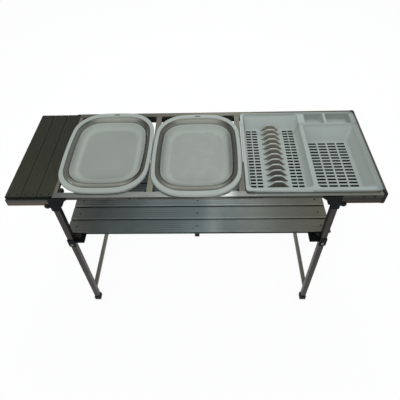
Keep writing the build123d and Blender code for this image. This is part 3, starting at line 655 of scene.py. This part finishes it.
def slot_cutter(place):
    """The shape of the hanging slot through the back of the rim."""
    half, radius, back = HANGING_SLOT
    bm = bmesh.new()
    x, y = place
    y += RIM[1] - back
    ring = []
    for end in (1, -1):
        for i in range(9):
            a = math.radians(-90 + 180 * i / 8)
            ring.append((x + end * (half + radius * math.cos(a)), y + end * radius * math.sin(a)))
    rings = [[(px, py, RAIL_TOP + z) for px, py in ring] for z in (1.0, 14.0)]
    loft(bm, rings, cap_first=True, cap_last=True)
    bmesh.ops.recalc_face_normals(bm, faces=bm.faces)
    cutter = bpy.data.objects.new("slot_cutter", to_mesh(bm, "slot_cutter"))
    scene.collection.objects.link(cutter)
    return cutter


def make_rim(number, place, soft):
    """The hard flange with its hanging slot, and the soft collar that slopes down inside it."""
    top = f"bowl_{number}_top"
    mesh = ring_mesh(f"bowl_{number}_rim", place, [
        (inset(RIM, 0.5), 0.0), (RIM, 0.6), (RIM, 4.8), (inset(RIM, 0.3), 6.2),
        (inset(RIM, 1.1), 7.3), (inset(RIM, 2.4), 7.9), (inset(RIM, 4.2), 8.0),
        (blend_shape(RIM, FLANGE, 0.55), 7.9), (inset(FLANGE, -3.2), 7.9),
        (inset(FLANGE, -1.6), 7.7), (inset(FLANGE, -0.5), 7.0), (FLANGE, 6.0), (FLANGE, 5.6),
        (inset(FLANGE, -1.0), 5.4), (inset(RIM, 3.2), 5.5), (inset(RIM, 2.4), 4.9),
        (inset(RIM, 2.3), 0.5), (inset(RIM, 1.8), 0.0)])
    rim = add_object(f"bowl_{number}_rim_moulding", mesh, BOWL, top,
                     (f"bowl_{number}_rim",))
    cutter = slot_cutter(place)
    cut = rim.modifiers.new("slot", "BOOLEAN")
    cut.operation = "DIFFERENCE"
    cut.solver = "EXACT"
    cut.object = cutter
    apply_modifiers(rim)
    bpy.data.objects.remove(cutter)
    smooth(rim.data, 50.0)
    weighted(rim)

    def slope(t):
        return blend_shape(FLANGE, HOLE, t)

    mesh = ring_mesh(f"bowl_{number}_collar", place, [
        (inset(FLANGE, -1.6), 5.3), (inset(FLANGE, -0.2), 5.4), (slope(0.03), 4.6),
        (slope(0.10), 3.1), (slope(0.22), 2.0), (slope(0.40), 1.5), (slope(0.52), 1.9),
        (slope(0.62), 1.9), (slope(0.72), 1.4), (slope(0.92), 1.2), (slope(1.0), 0.7),
        (HOLE, 0.0), (HOLE, -3.2), (inset(HOLE, -0.6), -4.0), (inset(SKIRT, 0.6), -4.0),
        (SKIRT, -3.2), (SKIRT, -0.4), (inset(SKIRT, -0.4), 0.05), (inset(FLANGE, -1.0), 0.05),
        (inset(FLANGE, -2.2), 0.3)])
    add_object(f"bowl_{number}_collar", mesh, soft, top)


def make_stretching(number, place, part, rings, soft):
    """A soft wall round the bowl, as a ring mesh that rides on no body."""
    name = f"bowl_{number}_{part}"
    piece = link_object(name, ring_mesh(name, place, rings), soft)
    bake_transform(piece)
    return piece


def make_soft(number, place, soft):
    """Stepped shoulder and outer wall down to the fold, fold bead, inner wall up to the pan."""
    def shoulder(t, extra=0.0):
        return inset(blend_shape(inset(HOLE, 0.3), inset(FOLD, 1.2), t), extra)

    rings = [(shoulder(0.0), 1.7), (shoulder(0.0, 0.5), 1.9), (shoulder(0.10), 1.6),
             (shoulder(0.28), 1.1), (shoulder(0.34), 0.4), (shoulder(0.40), -0.2),
             (shoulder(0.58), -0.5), (shoulder(0.66), -0.9), (shoulder(0.72), -1.5),
             (shoulder(0.79), -1.9), (shoulder(0.90), -2.2), (shoulder(0.97), -2.9),
             (shoulder(1.0), -4.4)]
    rings += [(inset(FOLD, 1.2), z) for z in (*reversed(WALL_HEIGHTS), -41.6)]
    rings += [(inset(FOLD, 0.6), -42.0)]
    rings += [(FOLD, z) for z in (-41.6, *WALL_HEIGHTS)]
    rings += [(inset(FOLD, -1.0), -5.0), (inset(FOLD, -1.2), -3.8), (shoulder(0.6, -0.2), -2.2),
              (shoulder(0.3, -0.1), -0.4), (shoulder(0.06), 0.4), (shoulder(0.0), 1.2)]
    outer = make_stretching(number, place, "outer_wall", rings, soft)
    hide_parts(f"bowl_{number}_soft_wall")

    mesh = ring_mesh(f"bowl_{number}_fold_bead", place, [
        (inset(FOLD, 0.2), -43.2), (inset(FOLD, 0.7), -42.5), (inset(FOLD, 1.9), -42.4),
        (inset(FOLD, 2.8), -43.0), (inset(FOLD, 2.8), -46.4), (inset(FOLD, 2.0), -47.0),
        (inset(FOLD, 0.8), -47.0), (inset(FOLD, 0.1), -46.4), (FOLD, -45.2), (FOLD, -44.4)])
    add_object(f"bowl_{number}_fold_bead", mesh, soft, f"bowl_{number}_fold",
               (f"bowl_{number}_fold_band",))

    rings = [(inset(BAND, 0.6), -42.3)]
    rings += [(inset(BAND, 0.1), z) for z in (-41.9, *WALL_HEIGHTS, -3.0)]
    rings += [(inset(BAND, 0.25), -1.2), (inset(BAND, 0.6), -0.7), (inset(BAND, 1.1), -0.8),
              (inset(BAND, 1.2), -1.6)]
    rings += [(inset(BAND, 1.2), z) for z in (-3.2, *reversed(WALL_HEIGHTS), -41.9)]
    make_stretching(number, place, "inner_wall", rings, soft)


def make_pan(number, place, material):
    """The hard base: a lip, a bend that flattens towards the floor, and its underside."""
    x, y = place

    def wall(t):
        return blend_shape(PAN_IN, FLOOR, t)

    def drop(t):
        return -PAN_DEPTH * (1.0 - (1.0 - t) ** 3.2)

    def shrunk(ring, factor):
        return [(x + (px - x) * factor, y + (py - y) * factor, pz) for px, py, pz in ring]

    rings = [(inset(PAN, 0.4), -3.0), (PAN, -2.4), (PAN, -0.9), (inset(PAN, 0.3), -0.3),
             (inset(PAN, 0.9), 0.0), (inset(PAN_IN, -1.2), 0.0), (inset(PAN_IN, -0.4), -0.3)]
    rings += [(wall(t), drop(t) - 0.7 * (1 - t) ** 6) for t in PAN_STEPS]
    rings.append((inset(FLOOR, FLOOR[0] * 0.25), -PAN_DEPTH))
    top_rows = bowl_rings(place, rings)
    top_rows += [shrunk(top_rows[len(rings) - 1], factor) for factor in (0.5, 0.25, 0.02)]
    under = [(inset(PAN, 1.6), -3.0)]
    under += [(inset(wall(t), -2.4), drop(t) - 2.5) for t in PAN_STEPS[1:]]
    under_rows = bowl_rings(place, under)
    under_rows += [shrunk(under_rows[len(under) - 1], factor) for factor in (0.6, 0.3, 0.02)]
    bm = bmesh.new()
    loft(bm, list(reversed(under_rows)) + top_rows, cap_first=True, cap_last=True)
    mesh = finish_mesh(bm, f"bowl_{number}_pan_mesh", 50.0)
    pan = add_object(f"bowl_{number}_pan_moulding", mesh, material, f"bowl_{number}_bottom",
                     (f"bowl_{number}_base_pan", f"bowl_{number}_pan_floor"))
    weighted(pan)


for number in (1, 2):
    centre = bowl_centre(number)
    wall = soft_wall(number, centre)
    make_rim(number, centre, wall)
    make_soft(number, centre, wall)
    make_pan(number, centre, pan_plastic(number, centre))


# Drainer. Its places are counted from the tray's front left corner. The widths below belong
# to a tray of DRAWN_WIDTH, and STRETCH fits them to the CAD tray.
TRAY_LOW, TRAY_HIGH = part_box("drainer_tray")
TRAY_X = TRAY_LOW.x / MM
TRAY_Y = TRAY_LOW.y / MM
TRAY_W = TRAY_HIGH.x / MM - TRAY_X
TRAY_D = TRAY_HIGH.y / MM - TRAY_Y
TRAY_TOP = RAIL_TOP + 8.0
TRAY_WALL = 2.3
DRAWN_WIDTH = 423.7
STRETCH = TRAY_W / DRAWN_WIDTH
WELL_DEPTH = 33.0
BOX_DEPTH = 16.0
WELL_FLOOR = RAIL_TOP - WELL_DEPTH
FULL_DEPTH = 41.0

# Each well: its opening and its floor as (left, right, front, back), corner radius, depth
WELLS = [
    ((12.2, 212.5, 14.5, 396.0), (18.2, 201.5, 44.0, 358.0), 12.0, WELL_DEPTH),
    ((227.0, 406.5, 14.5, 328.0), (236.0, 383.2, 44.0, 282.0), 12.0, WELL_DEPTH),
    ((238.2, 309.2, 337.0, 396.0), (243.2, 304.2, 342.0, 391.0), 8.0, BOX_DEPTH),
    ((317.3, 406.5, 337.0, 396.0), (322.3, 401.5, 342.0, 391.0), 8.0, BOX_DEPTH),
]

# Each grid of drain slots: its well, the columns' middles, the slots' width, rows
GRIDS = [
    (0, (31.0, 53.3), 18.2, 20),
    (0, (166.3, 187.6), 18.2, 20),
    (1, (256.6, 290.4, 324.2, 358.0), 28.0, 15),
]
FIRST_ROW = 56.0
ROW_PITCH = 15.05
SLOT_HALF_DEPTH = 4.2
SLOT_CORNER = 1.2

# The webs between the slots: their margins round a grid, and their top and bottom
WEB_SIDE = 3.0
WEB_FRONT = 7.2
WEB_LEVELS = (WELL_FLOOR - 2.2, WELL_FLOOR - 11.5)

RIB_COUNT = 12
RIB_PITCH = 26.9
RIB_HALF = 3.5
RIB_STEPS = 26


def round_rect(x0, x1, y0, y1, radius, z, turn=6):
    points = []
    for cx, cy, start in ((x1 - radius, y0 + radius, -90), (x1 - radius, y1 - radius, 0),
                          (x0 + radius, y1 - radius, 90), (x0 + radius, y0 + radius, 180)):
        for i in range(turn + 1):
            a = math.radians(start + 90.0 * i / turn)
            points.append((cx + radius * math.cos(a), cy + radius * math.sin(a), z))
    return points


def slot_loops(grid, grow, z):
    """Outlines of one grid's drain slots."""
    _, columns, width, count = grid
    w = width / 2 * STRETCH + grow
    d = SLOT_HALF_DEPTH + grow
    loops = []
    for column in columns:
        for row in range(count):
            x = TRAY_X + column * STRETCH
            y = TRAY_Y + FIRST_ROW + ROW_PITCH * row
            loops.append(round_rect(x - w, x + w, y - d, y + d, SLOT_CORNER + grow, z, 2))
    return loops


def tray_ring(area, grow, corner, z):
    x0, x1, y0, y1 = area
    x0 = TRAY_X + x0 * STRETCH - grow
    x1 = TRAY_X + x1 * STRETCH + grow
    return round_rect(x0, x1, TRAY_Y + y0 - grow, TRAY_Y + y1 + grow, corner + grow, z)


def make_tray():
    """The drainer's rim, wells, boxes and slotted floors, as one thin sheet made solid."""
    bm = bmesh.new()
    whole = (0.0, TRAY_W / STRETCH, 0.0, TRAY_D)
    edge = [(0.0, RAIL_TOP + 0.1), (0.0, RAIL_TOP + 5.2), (-0.4, RAIL_TOP + 6.8),
            (-1.5, RAIL_TOP + 7.7), (-3.2, TRAY_TOP)]
    rows = loft(bm, [tray_ring(whole, grow, 10.0, z) for grow, z in edge])
    plate = [rows[-1]]
    for index, (top, floor, corner, deep) in enumerate(WELLS):
        lip = ((3.0, 0.0), (1.7, -0.25), (0.6, -0.95), (-0.1, -2.2))
        rings = [tray_ring(top, grow, corner, TRAY_TOP + z) for grow, z in lip]
        bottom = RAIL_TOP - deep
        depth = TRAY_TOP - bottom
        for t in (0.2, 0.45, 0.7, 0.86):
            rings.append(tray_ring(blend_shape(top, floor, t), 0.0, corner, TRAY_TOP - depth * t))
        for t, z in ((0.94, 3.0 * depth / FULL_DEPTH), (0.985, 1.2 * depth / FULL_DEPTH),
                     (1.03, 0.3), (1.09, 0.0)):
            rings.append(tray_ring(blend_shape(top, floor, t), 0.0, corner, bottom + z))
        well = loft(bm, rings)
        plate.append(well[0])
        loops = [well[-1]]
        for grid in GRIDS:
            if grid[0] == index:
                loops += [add_loop(bm, hole) for hole in slot_loops(grid, 0.0, WELL_FLOOR)]
        fill_between(bm, loops)
    fill_between(bm, plate)
    mesh = finish_mesh(bm, "drainer_mesh", 35.0)
    tray = add_object("drainer_moulding", mesh, TRAY, "drainer", ("drainer_tray",))
    solid = tray.modifiers.new("wall", "SOLIDIFY")
    solid.thickness = TRAY_WALL * MM
    solid.offset = -1.0
    solid.use_even_offset = True
    apply_modifiers(tray)
    smooth(tray.data, 35.0)
    weighted(tray)


def make_grids():
    """Deep webs between the drain slots, under the wells' floors, coloured with painted shade."""
    bm = bmesh.new()
    for grid in GRIDS:
        _, columns, width, count = grid
        x0 = TRAY_X + (columns[0] - width / 2) * STRETCH - WEB_SIDE
        x1 = TRAY_X + (columns[-1] + width / 2) * STRETCH + WEB_SIDE
        y0 = TRAY_Y + FIRST_ROW - WEB_FRONT
        y1 = y0 + ROW_PITCH * (count - 1) + 2 * WEB_FRONT
        layers = []
        for z in WEB_LEVELS:
            outlines = [round_rect(x0, x1, y0, y1, 2.0, z, 2)] + slot_loops(grid, 0.08, z)
            layers.append([add_loop(bm, line) for line in outlines])
        for upper, lower in zip(*layers):
            bridge(bm, upper, lower)
        for layer in layers:
            fill_between(bm, layer)
    mesh = finish_mesh(bm, "grid_mesh", 35.0)
    add_object("drainer_grid", mesh, GRID, "drainer")


def make_ribs():
    """Twelve arched ribs that hold plates on edge."""
    low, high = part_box("plate_ribs")
    x0, x1 = low.x / MM, high.x / MM
    base = low.z / MM
    profile = []
    for i in range(RIB_STEPS + 1):
        t = i / RIB_STEPS
        near = min(min(t, 1.0 - t) / 0.38, 1.0)
        rise = near * near * (3.0 - 2.0 * near)
        crown = 1.0 - (2.0 * t - 1.0) ** 2
        profile.append((x0 + (x1 - x0) * t, base + 5.0 + 17.4 * rise + 2.4 * crown))
    rounding = ((-RIB_HALF, 2.6), (-RIB_HALF + 0.7, 1.1), (-RIB_HALF + 2.0, 0.0),
                (RIB_HALF - 2.0, 0.0), (RIB_HALF - 0.7, 1.1), (RIB_HALF, 2.6))
    bm = bmesh.new()
    for index in range(RIB_COUNT):
        y = low.y / MM + RIB_HALF + index * RIB_PITCH
        loops = []
        for offset, drop in rounding:
            line = [(x, y + offset, z - drop) for x, z in profile]
            loops.append([(x0, y + offset, base)] + line + [(x1, y + offset, base)])
        rows = loft(bm, loops)
        bm.faces.new(rows[0])
        bm.faces.new(list(reversed(rows[-1])))
    mesh = finish_mesh(bm, "rib_mesh", 40.0)
    weighted(add_object("drainer_ribs", mesh, RIBS, "drainer", ("plate_ribs",)))


make_tray()
make_grids()
make_ribs()

# Slats: edge radius, the plain strip at each edge, and the wall of the hollow bar
SLAT_RADIUS = 1.2
SLAT_EDGE = 4.0
SLAT_WALL = 1.4
GROOVE_SLOPE = 0.55


def slat_profile(width, height, bands, groove, land):
    """Outer loop of a slat: flat bottom, rounded edges, and a groove in the middle of each band."""
    half = width / 2
    radius = SLAT_RADIUS
    soft = radius * 0.3
    loop = [(-half, radius), (-half + soft, soft), (-half + radius, 0.0),
            (half - radius, 0.0), (half - soft, soft), (half, radius)]
    loop += [(half, height - radius), (half - soft, height - soft), (half - radius, height)]
    pitch = (width - 2 * SLAT_EDGE) / bands
    for i in range(bands):
        middle = half - SLAT_EDGE - (i + 0.5) * pitch
        for offset, drop in ((land, 0.0), (land - GROOVE_SLOPE, groove),
                             (GROOVE_SLOPE - land, groove), (-land, 0.0)):
            loop.append((middle + offset, height - drop))
    loop += [(-half + radius, height), (-half + soft, height - soft), (-half, height - radius)]
    return loop


def make_slat(node, along, bands, groove, land, material):
    """A hollow grooved slat in a CAD slat's box, with its length along x or y."""
    low, high = (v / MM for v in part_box(node))
    height = high.z - low.z
    if along == "x":
        width = high.y - low.y
        middle = (high.y + low.y) / 2
        ends = (low.x, high.x)
    else:
        width = high.x - low.x
        middle = (high.x + low.x) / 2
        ends = (low.y, high.y)

    def section(at, loop):
        if along == "x":
            return [(at, middle + u, low.z + v) for u, v in loop]
        return [(middle + u, at, low.z + v) for u, v in loop]

    half = width / 2 - SLAT_WALL
    top = height - SLAT_WALL
    outer = slat_profile(width, height, bands, groove, land)
    inner = [(-half, SLAT_WALL), (half, SLAT_WALL), (half, top), (-half, top)]
    bm = bmesh.new()
    first, last = ([add_loop(bm, section(at, loop)) for loop in (outer, inner)] for at in ends)
    for near, far in zip(first, last):
        bridge(bm, near, far)
    for row in (first, last):
        fill_between(bm, row)
    mesh = finish_mesh(bm, node + "_mesh", 30.0)
    add_object(node + "_plank", mesh, material, "frame", (node,))


for index in range(3):
    make_slat(f"worktop_slat_{index + 1}", "y", 9, 0.35, 0.9, WORKTOP)
for index in range(6):
    make_slat(f"shelf_slat_{index + 1}", "x", 5, 0.25, 2.2, SHELF)

# Bars, caps and brackets: the CAD node, the width of its rounding, material and slot
for node, width, material, slot in (
    ("front_rail", 0.9, SILVER, "bright_frame"),
    ("back_rail", 0.9, SILVER_BACK, "bright_frame"),
    ("left_end_rail", 0.8, SILVER_LEFT, "bright_frame"),
    ("right_end_rail", 0.8, SILVER_RIGHT, "bright_frame"),
    ("cross_member_1", 1.0, MEMBERS[1], "member_tube"),
    ("cross_member_2", 1.0, MEMBERS[2], "member_tube"),
    ("member_connectors", 0.8, BLACK, "black_plastic"),
    ("corner_caps", 1.0, BLACK, "black_plastic"),
    ("worktop_slat_caps", 0.4, BLACK, "black_plastic"),
    ("shelf_crossbar_left", 0.9, DARK_Y, "dark_tube"),
    ("shelf_crossbar_middle", 0.9, DARK_Y, "dark_tube"),
    ("shelf_crossbar_right", 0.9, DARK_Y, "dark_tube"),
    ("spreader_left", 0.8, DARK_Y, "dark_tube"),
    ("spreader_right", 0.8, DARK_Y, "dark_tube"),
    ("feet_left", 1.6, RUBBER, "rubber_feet"),
    ("feet_right", 1.6, RUBBER, "rubber_feet"),
    ("hinge_pins", 0.5, STEEL, "fasteners"),
):
    rounded_copy(node, width, material)
for corner in ("front_left", "back_left", "front_right", "back_right"):
    rounded_copy("bearer_" + corner, 1.0, BEARER)
    rounded_copy("leg_bracket_" + corner, 0.7, BRACKET)
    rounded_copy("post_" + corner, 1.0, DARK_Z)
    rounded_copy("elbow_bracket_" + corner, 0.7, BRACKET)
    rounded_copy("leg_" + corner, 1.0, DARK_Z)

# Places of the rivets and screws, as the CAD part has them
WORKTOP_LEFT = -605.0
WORKTOP_WIDTH = 155.0
WORKTOP_RIVETS_Y = (-203.0, 210.0)
WORKTOP_TOP = 679.0
SHELF_RIVETS_X = (6.0 - 443.0, 4.0, 6.0 + 443.0)
SHELF_TOP = 467.0
FRAME_LEFT = -450.0
FRAME_LENGTH = 1055.0
RAIL_SCREWS = (0.25, 0.614, 0.946)
RAIL_SCREW_OFFSET = 16.5
RAIL_FRONT = -220.0
RAIL_SCREW_Z = 673.0
BRACKET_FACE = 223.0
BRACKET_SCREWS = ((453.5, 627.5), (437.5, 656.25))

# Half sections of the fasteners, as (radius, height above the surface)
RIVET = [(1.6, -12.5), (1.6, 0.0), (3.0, 0.05), (2.95, 0.3), (2.4, 0.62), (1.6, 0.8),
         (1.0, 0.8), (0.8, 0.45), (0.3, 0.4)]
SCREW = [(2.0, -6.0), (2.0, 0.0), (3.2, 0.05), (3.1, 0.6), (2.6, 1.0), (1.8, 1.2)]
SOCKET = [(1.75, 1.15), (1.1, 1.15), (1.1, 0.3)]


def turned(bm, origin, axis, section, sides, cap_last=True):
    """A part turned round an axis through origin, from (radius, distance along it) points."""
    axis = Vector(axis)
    first = axis.orthogonal().normalized()
    second = axis.cross(first)
    rows = []
    for radius, along in section:
        row = []
        for i in range(sides):
            a = 2 * math.pi * i / sides
            across = (first * math.cos(a) + second * math.sin(a)) * radius
            row.append(Vector(origin) + axis * along + across)
        rows.append(row)
    loft(bm, rows, cap_first=True, cap_last=cap_last)


def make_rivets():
    """Domed rivets with a small dimple, where the CAD rivets stand."""
    places = []
    for index in range(3):
        for quarter in (-1, 1):
            x = WORKTOP_LEFT + (index + 0.5 + quarter * 0.25) * WORKTOP_WIDTH / 3
            places += [(x, y, WORKTOP_TOP) for y in WORKTOP_RIVETS_Y]
    for index in range(6):
        low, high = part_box(f"shelf_slat_{index + 1}")
        places += [(x, (low.y + high.y) / 2 / MM, SHELF_TOP) for x in SHELF_RIVETS_X]
    bm = bmesh.new()
    for place in places:
        turned(bm, place, (0, 0, 1), RIVET, 16)
    mesh = finish_mesh(bm, "rivet_mesh", 40.0)
    add_object("rivet_heads", mesh, BLACK_STEEL, "frame", ("rivets",))


def make_screws():
    """Domed screw heads with a six-sided socket, where the CAD screws stand."""
    places = []
    for share in RAIL_SCREWS:
        for offset in (-RAIL_SCREW_OFFSET, RAIL_SCREW_OFFSET):
            x = FRAME_LEFT + share * FRAME_LENGTH + offset
            places.append((x, RAIL_FRONT, RAIL_SCREW_Z, -1))
    for end in (-1, 1):
        for side in (-1, 1):
            places += [(end * x, side * BRACKET_FACE, z, side) for x, z in BRACKET_SCREWS]
    bm = bmesh.new()
    for x, y, z, side in places:
        turned(bm, (x, y, z), (0, side, 0), SCREW, 18, cap_last=False)
        turned(bm, (x, y, z), (0, side, 0), SOCKET, 6)
    mesh = finish_mesh(bm, "screw_mesh", 40.0)
    add_object("screw_heads", mesh, BLACK_STEEL, "frame", ("frame_screws",))


make_rivets()
make_screws()

# Floor, world and lamps. The floor glows white for the rays that see the background, less a
# share that keeps the object's shadow.
FLOOR_HALF = 6.0
FLOOR_GLOW = 1.04
FLOOR_GLOW_SHARE = 0.86
WORLD_COLOR = (0.95, 0.98, 1.0, 1.0)
WORLD_STRENGTH = 0.75
WHITE = (1, 1, 1, 1)


def seen_rays(tree):
    """1 for the rays that show the background, to the camera or in metal and glass."""
    path = tree.nodes.new("ShaderNodeLightPath")
    seen = path.outputs["Is Camera Ray"]
    for ray in ("Is Glossy Ray", "Is Transmission Ray"):
        larger = tree.nodes.new("ShaderNodeMath")
        larger.operation = "MAXIMUM"
        tree.links.new(seen, larger.inputs[0])
        tree.links.new(path.outputs[ray], larger.inputs[1])
        seen = larger.outputs[0]
    return seen


def make_floor():
    bm = bmesh.new()
    bmesh.ops.create_grid(bm, x_segments=8, y_segments=8, size=FLOOR_HALF)
    mesh = to_mesh(bm, "floor")
    m = Nodes("floor")
    m.set(Base_Color=(0.8, 0.8, 0.8), Roughness=0.9, Specular_IOR_Level=0.1)
    glow = m.add("ShaderNodeEmission")
    glow.inputs["Color"].default_value = WHITE
    glow.inputs["Strength"].default_value = FLOOR_GLOW
    mix = m.add("ShaderNodeMixShader")
    m.link(m.math("MULTIPLY", seen_rays(m.tree), FLOOR_GLOW_SHARE), mix.inputs["Fac"])
    m.link(m.shader.outputs["BSDF"], mix.inputs[1])
    m.link(glow.outputs["Emission"], mix.inputs[2])
    m.link(mix.outputs["Shader"], m.output.inputs["Surface"])
    link_object("floor", mesh, m.material)


def make_world():
    world = bpy.data.worlds.new("world")
    scene.world = world
    world.use_nodes = True
    tree = world.node_tree
    back = tree.nodes["Background"]
    back.inputs["Color"].default_value = WORLD_COLOR
    back.inputs["Strength"].default_value = WORLD_STRENGTH
    white = tree.nodes.new("ShaderNodeBackground")
    white.inputs["Color"].default_value = WHITE
    white.inputs["Strength"].default_value = 1.0
    mix = tree.nodes.new("ShaderNodeMixShader")
    tree.links.new(seen_rays(tree), mix.inputs["Fac"])
    tree.links.new(back.outputs["Background"], mix.inputs[1])
    tree.links.new(white.outputs["Background"], mix.inputs[2])
    tree.links.new(mix.outputs["Shader"], tree.nodes["World Output"].inputs["Surface"])


def make_lamp(name, place, target, size, power):
    """A soft rectangular lamp that looks at the target."""
    data = bpy.data.lights.new(name, "AREA")
    data.shape = "RECTANGLE"
    data.size, data.size_y = size
    data.energy = power
    lamp = bpy.data.objects.new(name, data)
    scene.collection.objects.link(lamp)
    lamp.location = place
    direction = Vector(target) - Vector(place)
    lamp.rotation_euler = direction.to_track_quat("-Z", "Y").to_euler()


make_floor()
make_world()
make_lamp("key", (0.10, 1.9, 2.70), (0.05, 0.0, 0.60), (0.6, 1.3), 14.0)
make_lamp("fill", (0.0, -1.6, 2.6), (0.0, 0.0, 0.6), (1.0, 1.0), 14.0)
scene.view_settings.view_transform = "Standard"
